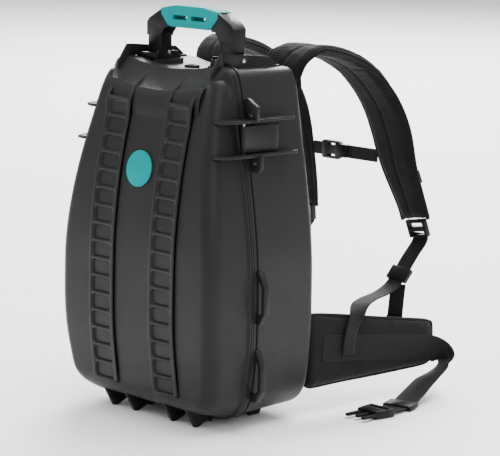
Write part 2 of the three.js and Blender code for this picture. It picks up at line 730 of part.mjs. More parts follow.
// Pads on the back of the base: rows give the half width over the height.
const backPadRows = [
  { up: 0, width: 0.97 }, { up: 0.03, width: 1 }, { up: 0.2, width: 1 }, { up: 0.42, width: 0.98 },
  { up: 0.6, width: 0.92 }, { up: 0.8, width: 0.83 }, { up: 0.96, width: 0.77 }, { up: 1, width: 0.72 },
];
const lumbarPadRows = [
  { up: 0, width: 0.96 }, { up: 0.06, width: 1 }, { up: 0.94, width: 1 }, { up: 1, width: 0.97 },
];
function casePad(rows, foot, height, halfWidth) {
  const front = baseDepth + fit;
  const rings = rows.map(({ up, width }) => {
    const z = foot + up * height;
    const w = width * halfWidth;
    const end = up === 0 || up === 1 ? 5 : 0;
    const back = front + padThick - end;
    return [
      V3(-w + 3, front, z), V3(w - 3, front, z), V3(w, front + 5, z), V3(w, back - 7, z),
      V3(w - 8, back, z), V3(-w + 8, back, z), V3(-w, back - 7, z), V3(-w, front + 5, z),
    ];
  });
  return loft(rings);
}

// Middle line of a shoulder strap, from the top of the back pad over the wearer's shoulder and
// down the chest. The left one hangs nearer to the middle.
const strapRows = [
  { out: 70, back: 139.5, up: 471, inward: 0 },
  { out: 70.5, back: 140, up: 490, inward: 0 },
  { out: 78, back: 151, up: 511, inward: 0 },
  { out: 86, back: 175, up: 522, inward: 2 },
  { out: 91, back: 203, up: 518, inward: 4 },
  { out: 94, back: 230, up: 509, inward: 7 },
  { out: 98, back: 257, up: 495, inward: 10 },
  { out: 102, back: 283, up: 472, inward: 14 },
  { out: 107, back: 308, up: 440, inward: 17 },
  { out: 111, back: 327, up: 400, inward: 20 },
  { out: 114, back: 345, up: 341, inward: 20 },
  { out: 120, back: 367, up: 284, inward: 16 },
  { out: 123, back: 375, up: 258, inward: 14 },
];
const strapSide = (sign) => V3(sign, 0.1, 0).normalize();
const strapSteps = 22;
const strapPath = ({ name, sign }) => curve(
  strapRows.map(({ out, back, up, inward }) => V3(sign * out - (name === 'left' ? -inward : 0), back, up)),
  strapSteps,
);

function padSection(width, thick) {
  const [u, v] = [width / 2, thick / 2];
  return [[-u, -v * 0.5], [-u + 4, -v], [u - 4, -v], [u, -v * 0.5], [u, v * 0.5], [u - 4, v], [-u + 4, v], [-u, v * 0.5]];
}
const strapTaper = (t) => 1 - (1 - strapEndWidth / strapWidth) * THREE.MathUtils.smoothstep(t, 0.74, 0.96);
const shoulderStrap = (side) =>
  sweep(strapPath(side), () => strapSide(side.sign), padSection(strapWidth, strapThick), strapTaper);

// Line that runs on the outer face of a strap, shifted across it, between two of its stations.
function onStrap(side, across, lift, from, to) {
  const path = strapPath(side);
  return path.slice(from, to + 1).map((point, k) => {
    const i = from + k;
    const tangent = V3().subVectors(path[Math.min(i + 1, path.length - 1)], path[Math.max(i - 1, 0)]).normalize();
    const across3 = strapSide(side.sign).addScaledVector(tangent, -strapSide(side.sign).dot(tangent)).normalize();
    const normal = V3().crossVectors(across3, tangent).normalize().multiplyScalar(side.sign);
    return point.clone().addScaledVector(across3, across).addScaledVector(normal, strapThick / 2 + lift);
  });
}

// Flat buckle body: a box turned to a direction, with a slot when it holds webbing.
function turnedBox(middle, along, side, length, width, thick, slots = []) {
  const x = along.clone().normalize();
  const y = side.clone().addScaledVector(x, -side.dot(x)).normalize();
  const z = V3().crossVectors(x, y);
  const place = new THREE.Matrix4().makeBasis(x, y, z).setPosition(middle);
  let body = solid(new THREE.BoxGeometry(length, width, thick).applyMatrix4(place));
  slots.forEach(([at, slotLength, slotWidth]) => {
    const box = new THREE.BoxGeometry(slotLength, slotWidth, thick * 4).translate(at, 0, 0);
    body = cut(body, solid(box.applyMatrix4(place)));
  });
  return body;
}

// Webbing and hardware on a shoulder strap.
const webLift = fit + webThick / 2;
const webAcross = 9;
const strapRingAt = 12;
const strapSliderAt = 18;
function strapWebbing(side) {
  const path = onStrap(side, webAcross, webLift, strapRingAt + 1, strapSteps);
  return sweep(path, () => strapSide(side.sign), flat(webWidth, webThick));
}
// Frame over the webbing at one station of the strap, with a channel that the webbing fills.
const ringSlots = [[-4, 5, 20]];
function strapClip(side, station, length, slots) {
  const [a, b, c] = onStrap(side, webAcross, fit + sliderThick / 2, station, station + 2);
  const along = V3().subVectors(c, a);
  const body = turnedBox(b, along, strapSide(side.sign), length, webWidth + 8, sliderThick, slots);
  const low = onStrap(side, webAcross, 0, station + 1, station + 1)[0];
  return cut(body, turnedBox(low, along, strapSide(side.sign), length + 10, webWidth + 2 * fit, 2 * (webThick + 4 * fit)));
}
function ladderLock(side) {
  const path = strapPath(side);
  const [a, b] = [path[strapSteps - 1], path[strapSteps]];
  const along = V3().subVectors(b, a).normalize();
  const middle = b.clone().addScaledVector(along, fit + lockLength / 2);
  return turnedBox(middle, along, strapSide(side.sign), lockLength, webWidth + 10, 9, [[-6, 6, webWidth], [7, 5, webWidth]]);
}

// Lower webbing: from the ladder lock forward and down, over the waist wing's top edge and onto
// its outer face. Rows give the middle line, and share the strap's inward shift at its top.
const lowerRows = [
  { out: 124, back: 385, up: 225, inward: 14 }, { out: 124.5, back: 364, up: 204, inward: 8 },
  { out: 125, back: 344, up: 183, inward: 4 }, { out: 125.5, back: 326, up: 166, inward: 2 },
  { out: 128, back: 299, up: 156, inward: 1 }, { out: 133, back: 265, up: 152, inward: 0 },
  { out: 142, back: 238, up: 147, inward: 0 },
  { out: 152.5, back: 220, up: 136, inward: 0 }, { out: 154.5, back: 210, up: 118, inward: 0 },
  { out: 153.5, back: 206, up: 100, inward: 0 }, { out: 152.4, back: 205, up: 80, inward: 0 },
];
const shifted = ({ name, sign }, rows) =>
  rows.map(({ out, back, up, inward }) => V3(sign * out + (name === 'left' ? inward : 0), back, up));
const lowerSteps = 18;
const lowerSide = (sign) => (t) => {
  const turn = THREE.MathUtils.smoothstep(t, 0.35, 0.8);
  return V3(sign * (1 - turn), 0.3 + 0.7 * turn, 0);
};
const lowerPath = (side) => curve(shifted(side, lowerRows), lowerSteps);
const lowerWebbing = (side) => sweep(lowerPath(side), lowerSide(side.sign), flat(webWidth, webThick));
const lowerSliderAt = 4;
function sleeve(path, index, side, length, width, thick, bandWidth) {
  const along = V3().subVectors(path[index + 1], path[index - 1]);
  const body = turnedBox(path[index], along, side, length, width, thick);
  return cut(body, turnedBox(path[index], along, side, length * 2, bandWidth + 6 * fit, webThick + 8 * fit));
}
const lowerSlider = (side) => sleeve(
  lowerPath(side), lowerSliderAt, lowerSide(side.sign)(0), 22, webWidth + 9, 7, webWidth,
);
// Loose end of the lower webbing: it hangs from the slider and ends in a folded tab.
const tailLength = 56;
function lowerTail(side) {
  const top = lowerPath(side)[lowerSliderAt];
  const [x, y, z] = [top.x, top.y - 2, top.z - 14.5];
  const path = curve([V3(x, y, z), V3(x + side.sign, y - 5, z - tailLength / 2), V3(x, y - 7, z - tailLength)], 5);
  const tab = turnedBox(V3(x, y - 7, z - tailLength + 4), V3(0, 0, 1), lowerSide(side.sign)(0), 8, webWidth + 2, webThick * 3);
  return join(sweep(path, () => lowerSide(side.sign)(0), flat(webWidth, webThick)), tab);
}

// Waist wings: padded, lying against the lumbar pad's sides and reaching back.
const wingRows = [
  { out: 137.3, back: 131, low: 42, high: 142 }, { out: 137.3, back: 138, low: 38, high: 146 },
  { out: 137.4, back: 152, low: 37, high: 146 }, { out: 140, back: 205, low: 38, high: 138 },
  { out: 143, back: 262, low: 38, high: 128 }, { out: 147, back: 330, low: 39, high: 117 },
  { out: 149, back: 366, low: 40, high: 111 }, { out: 149, back: 380, low: 43, high: 107 },
  { out: 149, back: 386, low: 50, high: 100 },
];
function waistWing({ sign }) {
  const rings = wingRows.map(({ out, back, low, high }) => {
    const u = wingThick / 2;
    const section = [
      [-u, low + 4], [-u * 0.5, low], [u * 0.5, low], [u, low + 4],
      [u, high - 4], [u * 0.5, high], [-u * 0.5, high], [-u, high - 4],
    ];
    return section.map(([x, z]) => V3(sign * (out + x), back, z));
  });
  return loft(rings);
}

// Waist strap: along the wing's outer face, round its end, then down to the floor.
const waistRows = [
  { out: 146.2, back: 156, up: 95, flatness: 0 }, { out: 148.8, back: 205, up: 90, flatness: 0 },
  { out: 151.8, back: 262, up: 83, flatness: 0 }, { out: 155.8, back: 330, up: 75, flatness: 0 },
  { out: 158.8, back: 368, up: 69, flatness: 0 }, { out: 163, back: 388, up: 61, flatness: 0.03 },
  { out: 169, back: 397, up: 48, flatness: 0.4 }, { out: 170, back: 384, up: 35, flatness: 0.75 },
  { out: 177, back: 347, up: 25, flatness: 0.95 },
  { out: 190, back: 305, up: 13, flatness: 1 }, { out: 203, back: 268, up: 5.8, flatness: 1 },
  { out: 208, back: 240, up: 4.5, flatness: 1 }, { out: 210, back: 222.3, up: 6.2, flatness: 1 },
];
const waistSteps = 33;
const waistPath = ({ sign }) => curve(waistRows.map(({ out, back, up }) => V3(sign * out, back, up)), waistSteps);
const waistSideAt = ({ sign }) => (t) => {
  const place = t * (waistRows.length - 1);
  const i = Math.min(Math.floor(place), waistRows.length - 2);
  const turn = THREE.MathUtils.lerp(waistRows[i].flatness, waistRows[i + 1].flatness, place - i);
  return V3(sign * Math.sin(turn * Math.PI / 2), 0.15 * turn, Math.cos(turn * Math.PI / 2));
};
const waistStrap = (side) => sweep(waistPath(side), waistSideAt(side), flat(beltWidth, webThick));
const waistSliderAt = 28;
const waistSlider = (side) => sleeve(
  waistPath(side), waistSliderAt, waistSideAt(side)(1), 24, beltWidth + 8, 7.4, beltWidth,
);
// Buckle halves at the ends of the waist straps: right one with prongs, left one a socket.
function waistBuckle({ name, sign }) {
  const [x, y] = [sign * 210.5, 219];
  const bodyLength = name === 'right' ? 34 : 46;
  const half = beltWidth / 2 + 4;
  const z = [0.3, 0.3 + buckleThick];
  const body = plate('xy', [
    [x - half, y], [x + half, y], [x + half, y - 12], [x + half - 4, y - bodyLength],
    [x - half + 4, y - bodyLength], [x - half, y - 12],
  ], ...z);
  const bar = block(V3(x - beltWidth / 2, y - 12, -5), V3(x + beltWidth / 2, y - 6, 30));
  if (name === 'left') {
    const mouth = block(V3(x - half + 8, y - bodyLength - 1, 3.5), V3(x + half - 8, y - 20, 9));
    return cut(body, bar, mouth);
  }
  const prongs = [[-half + 4, -half + 11], [-3, 3], [half - 11, half - 4]].map(([from, to], k) => block(
    V3(x + from, y - bodyLength - (k === 1 ? 22 : 26), 4),
    V3(x + to, y - bodyLength + 1, 8.5),
  ));
  return join(cut(body, bar), ...prongs);
}

// Chest strap: from one shoulder strap's inner edge to the other's, with a fastened buckle.
const chest = { left: -56.9, right: 76.4, female: -37, male: 15, back: 338.3, up: 352 };
const chestBand = (from, to) => sweep(
  [V3(from, chest.back, chest.up), V3(to, chest.back, chest.up)],
  () => V3(0, 0, 1),
  flat(chestWidth, webThick),
);
function chestBuckle() {
  const half = chestWidth / 2 + 4;
  const [x0, x1, z] = [chest.female, chest.male, chest.up];
  const outline = [
    [x0, z - half + 2], [x0 + 3, z - half], [x1 - 18, z - half], [x1 - 12, z - half + 4], [x1, z - half + 4],
    [x1, z + half - 4], [x1 - 12, z + half - 4], [x1 - 18, z + half], [x0 + 3, z + half], [x0, z + half - 2],
  ];
  const windows = sides.map(({ sign }) => block(
    V3(x0 + 14, chest.back - 20, z + sign * (half - 7)), V3(x0 + 28, chest.back + 20, z + sign * (half - 4)),
  ));
  return cut(plate('xz', outline, chest.back - 4.5, chest.back + 4.5), ...windows);
}

piece('base_shell', shellGrey, baseShell());
piece('lid_shell', shellGrey, lidShell());
sides.forEach(({ name, sign }) => {
  ears.forEach((ear, k) => piece(`latch_guard_${ear.label}_${name}`, shellGrey, latchGuard(sign, lidFins[k], ear)));
  Object.entries(loopHeights).forEach(([label, height]) => {
    piece(`side_loop_${label}_${name}`, shellGrey, strapLoop(sign, height));
  });
});
const { outward, seat } = badgeFrame();
piece('badge', teal, rod(
  seat.clone().addScaledVector(outward, fit),
  seat.clone().addScaledVector(outward, fit + badgeThick),
  badgeRadius,
  32,
));
piece('handle_frame', blackPlastic, handleFrame());
piece('handle_grip', teal, handleGrip());
sides.forEach(({ name, sign }) => {
  const [inner, outer] = [bracketInner - bracketThick, bracketOuter + bracketThick];
  piece(`bracket_${name}`, blackPlastic, bracket(sign));
  piece(`handle_pin_${name}`, steel, rod(
    V3(sign * (inner - 1), handleY, pivotHeight),
    V3(sign * (outer + 1), handleY, pivotHeight),
    pinRadius,
  ));
  piece(`latch_${name}`, shellGrey, latch(sign));
  piece(`latch_pin_${name}`, steel, rod(
    V3(sign * latchPinOut, -latchPinDeep, lidFins[1].height - finThick / 2),
    V3(sign * latchPinOut, -latchPinDeep, lidFins[0].height + finThick / 2),
    latchPinRadius,
  ));
  piece(`hinge_pin_${name}`, steel, rod(
    V3(sign * hingeInner, 0, hingeHeight),
    V3(sign * (hingeInner + hingeLength), 0, hingeHeight),
    hingePinRadius,
  ));
});
piece('valve_knob', blackPlastic, rod(
  V3(valve.x, valve.y, valve.seat + fit),
  V3(valve.x, valve.y, valve.seat + fit + valve.thick),
  valve.radius,
  20,
));
piece('top_loop', steel, loopBody());
piece('back_pad', padCloth, casePad(backPadRows, padFoot, padHeight, padHalfWidth));
piece('lumbar_pad', padCloth, casePad(lumbarPadRows, lumbarFoot, lumbarHeight, lumbarHalfWidth));
sides.forEach((side) => {
  const { name } = side;
  piece(`shoulder_strap_${name}`, padCloth, shoulderStrap(side));
  piece(`strap_webbing_${name}`, webbing, strapWebbing(side));
  piece(`strap_ring_${name}`, blackPlastic, strapClip(side, strapRingAt, 24, ringSlots));
  piece(`strap_slider_${name}`, blackPlastic, strapClip(side, strapSliderAt, 20, []));
  piece(`ladder_lock_${name}`, blackPlastic, ladderLock(side));
  piece(`lower_webbing_${name}`, webbing, lowerWebbing(side));
  piece(`lower_slider_${name}`, blackPlastic, lowerSlider(side));
  piece(`lower_tail_${name}`, webbing, lowerTail(side));
  piece(`waist_wing_${name}`, padCloth, waistWing(side));
  piece(`waist_strap_${name}`, webbing, waistStrap(side));
  piece(`waist_slider_${name}`, blackPlastic, waistSlider(side));
  piece(`waist_buckle_${name}`, blackPlastic, waistBuckle(side));
});
piece('chest_webbing_right', webbing, chestBand(chest.male + fit, chest.right));
piece('chest_webbing_left', webbing, chestBand(chest.left, chest.female - fit));
piece('chest_buckle', blackPlastic, chestBuckle());

// The frame's origin is under the middle of the whole pack, on the floor.
const extent = new THREE.Box3().setFromObject(assembly);
assembly.position.y = -(extent.min.y + extent.max.y) / 2;

export default assembly;
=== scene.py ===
"""Looks of a hard shell backpack: a hinged case with a folding handle, latches and a harness."""
import logging
import math
from dataclasses import dataclass, field
from enum import Enum
from typing import Callable, Sequence

import bmesh
import bpy
from mathutils import Matrix, Vector, noise
from mathutils.kdtree import KDTree


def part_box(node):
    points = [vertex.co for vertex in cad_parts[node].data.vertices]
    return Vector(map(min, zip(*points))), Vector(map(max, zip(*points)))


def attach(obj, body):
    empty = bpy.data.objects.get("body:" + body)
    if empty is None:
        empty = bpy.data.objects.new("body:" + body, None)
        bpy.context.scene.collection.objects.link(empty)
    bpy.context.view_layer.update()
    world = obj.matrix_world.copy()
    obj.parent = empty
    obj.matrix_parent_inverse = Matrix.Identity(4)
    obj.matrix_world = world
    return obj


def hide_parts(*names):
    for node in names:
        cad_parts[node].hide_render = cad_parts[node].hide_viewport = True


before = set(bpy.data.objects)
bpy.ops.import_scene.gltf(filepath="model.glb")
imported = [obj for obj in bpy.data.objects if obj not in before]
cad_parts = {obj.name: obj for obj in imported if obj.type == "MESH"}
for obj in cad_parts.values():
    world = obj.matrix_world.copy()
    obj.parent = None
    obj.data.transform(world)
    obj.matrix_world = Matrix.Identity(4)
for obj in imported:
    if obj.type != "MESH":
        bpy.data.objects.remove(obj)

log = logging.getLogger("backpack")
Ring = list[Vector]
MM = 0.001
CASE_SHIFT = (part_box("hinge_pin_left")[0][1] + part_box("hinge_pin_left")[1][1]) / 2
SIDES = (("left", -1), ("right", 1))


class Body(Enum):
    """Bodies that a piece can ride on."""

    BASE = "base"
    LID = "lid"
    HANDLE = "handle"
    LATCH_LEFT = "latch_left"
    LATCH_RIGHT = "latch_right"


class Plane(Enum):
    """Plane that a plate's outline lies in."""

    YZ = "yz"
    XZ = "xz"
    XY = "xy"


def at(x: float, y: float, z: float) -> Vector:
    """Place in the model for millimetres counted from the case's seam.

    Args:
        x: Distance to the right.
        y: Distance behind the seam.
        z: Height over the floor.

    Returns:
        The point in metres, in the row frame.
    """
    return Vector((x * MM, y * MM + CASE_SHIFT, z * MM))


# ---------------------------------------------------------------- mesh helpers


def only(obj: bpy.types.Object) -> bpy.types.Object:
    """Makes one object the only one selected, and active.

    Args:
        obj: The object.

    Returns:
        The same object.
    """
    bpy.ops.object.select_all(action="DESELECT")
    obj.select_set(True)
    bpy.context.view_layer.objects.active = obj
    return obj


def edit(obj: bpy.types.Object, *steps: Callable[[], object]) -> None:
    """Runs steps in edit mode with everything selected.

    Args:
        obj: The object.
        steps: Calls made in edit mode, in order.
    """
    only(obj)
    bpy.ops.object.mode_set(mode="EDIT")
    bpy.ops.mesh.select_all(action="SELECT")
    for step in steps:
        step()
    bpy.ops.object.mode_set(mode="OBJECT")


def fill_ends() -> None:
    """Closes every open loop of the mesh in edit mode."""
    bpy.ops.mesh.select_all(action="DESELECT")
    bpy.ops.mesh.select_non_manifold(extend=False)
    bpy.ops.mesh.fill_holes(sides=0)
    bpy.ops.mesh.select_all(action="SELECT")


def surface(name: str, rings: Sequence[Ring], closed: bool = True, capped: bool = True) -> bpy.types.Object:
    """Grid laid over rings of equally many points, with its UV map across and along it.

    Args:
        name: The piece's name.
        rings: Rings of points in metres.
        closed: Whether each ring meets its own start.
        capped: Whether the open ends are filled.

    Returns:
        The object, at the origin.
    """
    across = len(rings[0]) + (1 if closed else 0)
    bpy.ops.object.select_all(action="DESELECT")
    bpy.ops.mesh.primitive_grid_add(x_subdivisions=across - 1, y_subdivisions=len(rings) - 1, size=1)
    obj = bpy.context.active_object
    obj.name = obj.data.name = name
    flat = [p for ring in rings for p in (list(ring) + ([ring[0]] if closed else []))]
    obj.data.vertices.foreach_set("co", [value for p in flat for value in p])
    obj.data.update()
    steps: list[Callable[[], object]] = [lambda: bpy.ops.mesh.remove_doubles(threshold=1e-6)]
    if capped:
        steps.append(fill_ends)
    steps.append(lambda: bpy.ops.mesh.normals_make_consistent(inside=False))
    edit(obj, *steps)
    return obj


def apply(obj: bpy.types.Object, kind: str, **settings: object) -> None:
    """Adds one modifier with its settings and applies it.

    Args:
        obj: The object.
        kind: The modifier's type.
        settings: The modifier's own values.
    """
    only(obj)
    modifier = obj.modifiers.new(kind.lower(), kind)
    for key, value in settings.items():
        setattr(modifier, key, value)
    bpy.ops.object.modifier_apply(modifier=modifier.name)


def soften(obj: bpy.types.Object, width: float, segments: int = 2, limit: float = 32) -> bpy.types.Object:
    """Rounds an object's hard edges and shades it smooth.

    Args:
        obj: The object.
        width: Bevel width in millimetres, 0 for none.
        segments: Bevel segments.
        limit: Angle in degrees over which an edge counts as hard.

    Returns:
        The same object.
    """
    if width:
        apply(obj, "BEVEL", width=width * MM, segments=segments, limit_method="ANGLE",
              angle_limit=math.radians(limit), use_clamp_overlap=True, harden_normals=False)
    only(obj)
    bpy.ops.object.shade_smooth_by_angle(angle=math.radians(38))
    return obj


def plate(name: str, plane: Plane, outline: Sequence[tuple[float, float]], low: float, high: float,
          bevel: float = 0.8) -> bpy.types.Object:
    """Plate with an outline in one plane, between two places on the third axis, edges rounded.

    Args:
        name: The piece's name.
        plane: Plane of the outline.
        outline: Corners in millimetres.
        low: Start along the third axis.
        high: End along the third axis.
        bevel: Rounding of its edges.

    Returns:
        The plate.
    """
    place = {
        Plane.YZ: lambda u, v, w: at(w, u, v),
        Plane.XZ: lambda u, v, w: at(u, w, v),
        Plane.XY: lambda u, v, w: at(u, v, w),
    }[plane]
    rings = [[place(u, v, w) for u, v in outline] for w in (low, high)]
    return soften(surface(name, rings), bevel)


def rod(name: str, start: Vector, end: Vector, radius: float, bevel: float = 0.4,
        count: int = 28) -> bpy.types.Object:
    """Round rod between two places, with its rims rounded.

    Args:
        name: The piece's name.
        start: One end.
        end: The other end.
        radius: Radius in millimetres.
        bevel: Rounding of its rims.
        count: Points round it.

    Returns:
        The rod.
    """
    along = (end - start).normalized()
    side = along.orthogonal().normalized()
    other = along.cross(side)
    angles = [2 * math.pi * i / count for i in range(count)]
    spokes = [side * math.cos(a) + other * math.sin(a) for a in angles]
    rings = [[p + s * radius * MM for s in spokes] for p in (start, end)]
    return soften(surface(name, rings), bevel)


def joined(name: str, parts: Sequence[bpy.types.Object]) -> bpy.types.Object:
    """Joins objects into one named piece.

    Args:
        name: The piece's name.
        parts: The objects.

    Returns:
        The joined piece.
    """
    bpy.ops.object.select_all(action="DESELECT")
    for part in parts:
        part.select_set(True)
    bpy.context.view_layer.objects.active = parts[0]
    bpy.ops.object.join()
    obj = bpy.context.active_object
    obj.name = obj.data.name = name
    return obj


def copied(node: str, name: str, bevel: float) -> bpy.types.Object:
    """Copy of a CAD node with merged points, flat faces made whole and edges rounded.

    Args:
        node: The CAD node.
        name: The piece's name.
        bevel: Rounding of its edges in millimetres.

    Returns:
        The copy.
    """
    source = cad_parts[node]
    obj = bpy.data.objects.new(name, source.data.copy())
    bpy.context.scene.collection.objects.link(obj)
    obj.data.materials.clear()
    edit(
        obj,
        lambda: bpy.ops.mesh.remove_doubles(threshold=2e-5),
        lambda: bpy.ops.mesh.dissolve_limited(angle_limit=math.radians(1.5)),
    )
    return soften(obj, bevel)


def dress(obj: bpy.types.Object, material: bpy.types.Material, body: Body, slot: str,
          *nodes: str) -> bpy.types.Object:
    """Gives a piece its material and body, and hides the CAD nodes that it stands for.

    Args:
        obj: The piece.
        material: Its material.
        body: The body that it rides on.
        slot: Its material slot; not used.
        nodes: The CAD nodes that it replaces.

    Returns:
        The same piece.
    """
    obj.data.materials.clear()
    obj.data.materials.append(material)
    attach(obj, body.value)
    if nodes:
        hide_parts(*nodes)
    log.info("%s: %d faces", obj.name, len(obj.data.polygons))
    return obj


def spline(points: Sequence[Vector], count: int) -> list[Vector]:
    """Points of an even Catmull-Rom curve through the given ones.

    Args:
        points: Places that it passes through.
        count: Steps along it.

    Returns:
        Its points.
    """
    last = len(points) - 1
    out = []
    for k in range(count + 1):
        place = k / count * last
        i = min(int(place), last - 1)
        t = place - i
        p1, p2 = points[i], points[i + 1]
        p0 = points[i - 1] if i > 0 else p1 * 2 - p2
        p3 = points[i + 2] if i + 2 <= last else p2 * 2 - p1
        out.append(((p1 * 2) + (p2 - p0) * t + (p0 * 2 - p1 * 5 + p2 * 4 - p3) * t * t
                    + (p1 * 3 - p0 - p2 * 3 + p3) * t ** 3) * 0.5)
    return out


def sample(rows: Sequence[tuple[float, float]], place: float) -> float:
    """Smooth value of a two-column table at a place between its rows.

    Args:
        rows: Table, with places in its first column.
        place: Where the value is wanted.

    Returns:
        The value.
    """
    last = len(rows) - 1
    if place <= rows[0][0]:
        return rows[0][1]
    if place >= rows[last][0]:
        return rows[last][1]
    i = next(k for k, row in enumerate(rows) if row[0] > place) - 1

    def slope(k: int) -> float:
        """Slope of the table at one row.

        Args:
            k: The row.

        Returns:
            Its slope.
        """
        a, b = rows[max(k - 1, 0)], rows[min(k + 1, last)]
        return (b[1] - a[1]) / (b[0] - a[0])

    span = rows[i + 1][0] - rows[i][0]
    t = (place - rows[i][0]) / span
    return ((2 * t ** 3 - 3 * t * t + 1) * rows[i][1] + (t ** 3 - 2 * t * t + t) * span * slope(i)
            + (3 * t * t - 2 * t ** 3) * rows[i + 1][1] + (t ** 3 - t * t) * span * slope(i + 1))


# ---------------------------------------------------------------- finishes


class Nodes:
    """Short way to lay shader nodes and their links."""

    def __init__(self, name: str) -> None:
        """Starts a material with a principled shader.

        Args:
            name: The material's name.
        """
        self.material = bpy.data.materials.new(name)
        self.material.use_nodes = True
        self.tree = self.material.node_tree
        self.shader = self.tree.nodes["Principled BSDF"]

    def add(self, kind: str, links: dict[str, object] | None = None, **settings: object) -> bpy.types.Node:
        """Adds a node, sets its properties, and links or sets its inputs.

        Args:
            kind: The node's type.
            links: Input names with a socket to link, or a value to set.
            settings: The node's own properties.

        Returns:
            The node.
        """
        node = self.tree.nodes.new(kind)
        for key, value in settings.items():
            setattr(node, key, value)
        for key, value in (links or {}).items():
            self.put(node, key, value)
        return node

    def put(self, node: bpy.types.Node, key: str, value: object) -> None:
        """Links a socket to a node's input, or sets the input's value.

        Args:
            node: The node.
            key: The input's name.
            value: A socket to link, or a value.
        """
        socket = node.inputs[key]
        if isinstance(value, bpy.types.NodeSocket):
            self.tree.links.new(value, socket)
        else:
            socket.default_value = value

    def ramp(self, factor: bpy.types.NodeSocket, low: tuple[float, Sequence[float]],
             high: tuple[float, Sequence[float]]) -> bpy.types.NodeSocket:
        """Colour ramp between two stops.

        Args:
            factor: What runs along the ramp.
            low: Place and colour of the first stop.
            high: Place and colour of the second stop.

        Returns:
            The colour.
        """
        node = self.add("ShaderNodeValToRGB", {"Fac": factor})
        for element, (place, colour) in zip(node.color_ramp.elements, (low, high)):
            element.position = place
            element.color = (*colour, 1)
        return node.outputs["Color"]

    def noise(self, vector: bpy.types.NodeSocket, scale: float, detail: float = 3) -> bpy.types.NodeSocket:
        """Noise value at a scale.

        Args:
            vector: Coordinates.
            scale: Scale of the noise.
            detail: Octaves.

        Returns:
            The value.
        """
        links = {"Vector": vector, "Scale": scale, "Detail": detail}
        return self.add("ShaderNodeTexNoise", links).outputs["Fac"]

    def bump(self, height: bpy.types.NodeSocket, strength: float, distance: float,
             before: bpy.types.NodeSocket | None = None) -> bpy.types.NodeSocket:
        """Bump from a height, over an earlier normal.

        Args:
            height: Height of the relief.
            strength: Strength of the bump.
            distance: Depth of the relief in metres.
            before: The normal that it is laid over.

        Returns:
            The normal.
        """
        links = {"Height": height, "Strength": strength, "Distance": distance}
        if before:
            links["Normal"] = before
        return self.add("ShaderNodeBump", links).outputs["Normal"]

    @property
    def place(self) -> bpy.types.NodeSocket:
        """Object coordinates."""
        return self.add("ShaderNodeTexCoord").outputs["Object"]


@dataclass(frozen=True)
class MouldedPlastic:
    """Moulded plastic with a spark-eroded grain and a little scuffing."""

    name: str
    colour: tuple[float, float, float]
    roughness: float
    grain: float = 0.12
    grain_scale: float = 1500
    scuff: float = 0.25
    shine: float = 0.15

    def material(self) -> bpy.types.Material:
        """Material of the finish."""
        n = Nodes(self.name)
        place = n.place
        cloud = n.noise(place, 14, 4)
        light = tuple(min(1.0, c * (1 + self.scuff)) for c in self.colour)
        dark = tuple(c * (1 - self.scuff * 0.5) for c in self.colour)
        n.put(n.shader, "Base Color", n.ramp(cloud, (0.3, dark), (0.75, light)))
        wear = n.noise(place, 60, 6)
        rough = n.add("ShaderNodeMapRange", {
            "Value": wear, "From Min": 0.3, "From Max": 0.7,
            "To Min": self.roughness - 0.05, "To Max": self.roughness + 0.07,
        })
        n.put(n.shader, "Roughness", rough.outputs["Result"])
        n.shader.inputs["Specular IOR Level"].default_value = self.shine
        grain = n.noise(place, self.grain_scale, 2)
        n.put(n.shader, "Normal", n.bump(grain, self.grain, 0.0004))
        return n.material


@dataclass(frozen=True)
class Steel:
    """Plain steel of pins and wire."""

    name: str = "pin_steel"
    colour: tuple[float, float, float] = (0.42, 0.42, 0.43)
    roughness: float = 0.32

    def material(self) -> bpy.types.Material:
        """Material of the finish."""
        n = Nodes(self.name)
        streak = n.noise(n.place, 400, 2)
        dark = tuple(c * 0.8 for c in self.colour)
        n.put(n.shader, "Base Color", n.ramp(streak, (0.3, dark), (0.8, self.colour)))
        n.shader.inputs["Metallic"].default_value = 1
        n.shader.inputs["Roughness"].default_value = self.roughness
        n.put(n.shader, "Normal", n.bump(streak, 0.08, 0.0003))
        return n.material


@dataclass(frozen=True)
class WovenCloth:
    """Plain weave of the pads' cover: fine crossing threads with slubs and soft wear."""

    name: str
    colour: tuple[float, float, float]
    thread: float = 1.1
    strength: float = 0.5
    sheen: float = 0.08

    def material(self) -> bpy.types.Material:
        """Material of the finish."""
        n = Nodes(self.name)
        place = n.place
        turns = 2 * math.pi / (self.thread * MM) / 20
        waves = [
            n.add("ShaderNodeTexWave", {
                "Vector": place, "Scale": turns / math.pi * 1.6, "Distortion": 0.6, "Detail": 1,
            }, wave_type="BANDS", bands_direction=direction, wave_profile="SIN").outputs["Fac"]
            for direction in ("Z", "DIAGONAL")
        ]
        mixed = n.add("ShaderNodeMath", operation="ADD")
        n.tree.links.new(waves[0], mixed.inputs[0])
        n.tree.links.new(waves[1], mixed.inputs[1])
        cloud = n.noise(place, 30, 5)
        light = tuple(c * 1.5 for c in self.colour)
        base = n.ramp(cloud, (0.3, tuple(c * 0.8 for c in self.colour)), (0.8, light))
        fleck = n.ramp(mixed.outputs["Value"], (0.4, (0.55, 0.55, 0.55)), (1.4 / 2, (1.0, 1.0, 1.0)))
        tint = n.add("ShaderNodeMix", data_type="RGBA", blend_type="MULTIPLY")
        tint.inputs["Factor"].default_value = 1
        n.tree.links.new(base, tint.inputs["A"])
        n.tree.links.new(fleck, tint.inputs["B"])
        n.put(n.shader, "Base Color", tint.outputs["Result"])
        n.shader.inputs["Roughness"].default_value = 0.92
        n.shader.inputs["Sheen Weight"].default_value = self.sheen
        n.shader.inputs["Sheen Roughness"].default_value = 0.5
        n.shader.inputs["Specular IOR Level"].default_value = 0.12
        crumple = n.noise(place, 45, 3)
        soft = n.bump(crumple, 0.25, 0.004)
        n.put(n.shader, "Normal", n.bump(mixed.outputs["Value"], self.strength, 0.0006, soft))
        return n.material


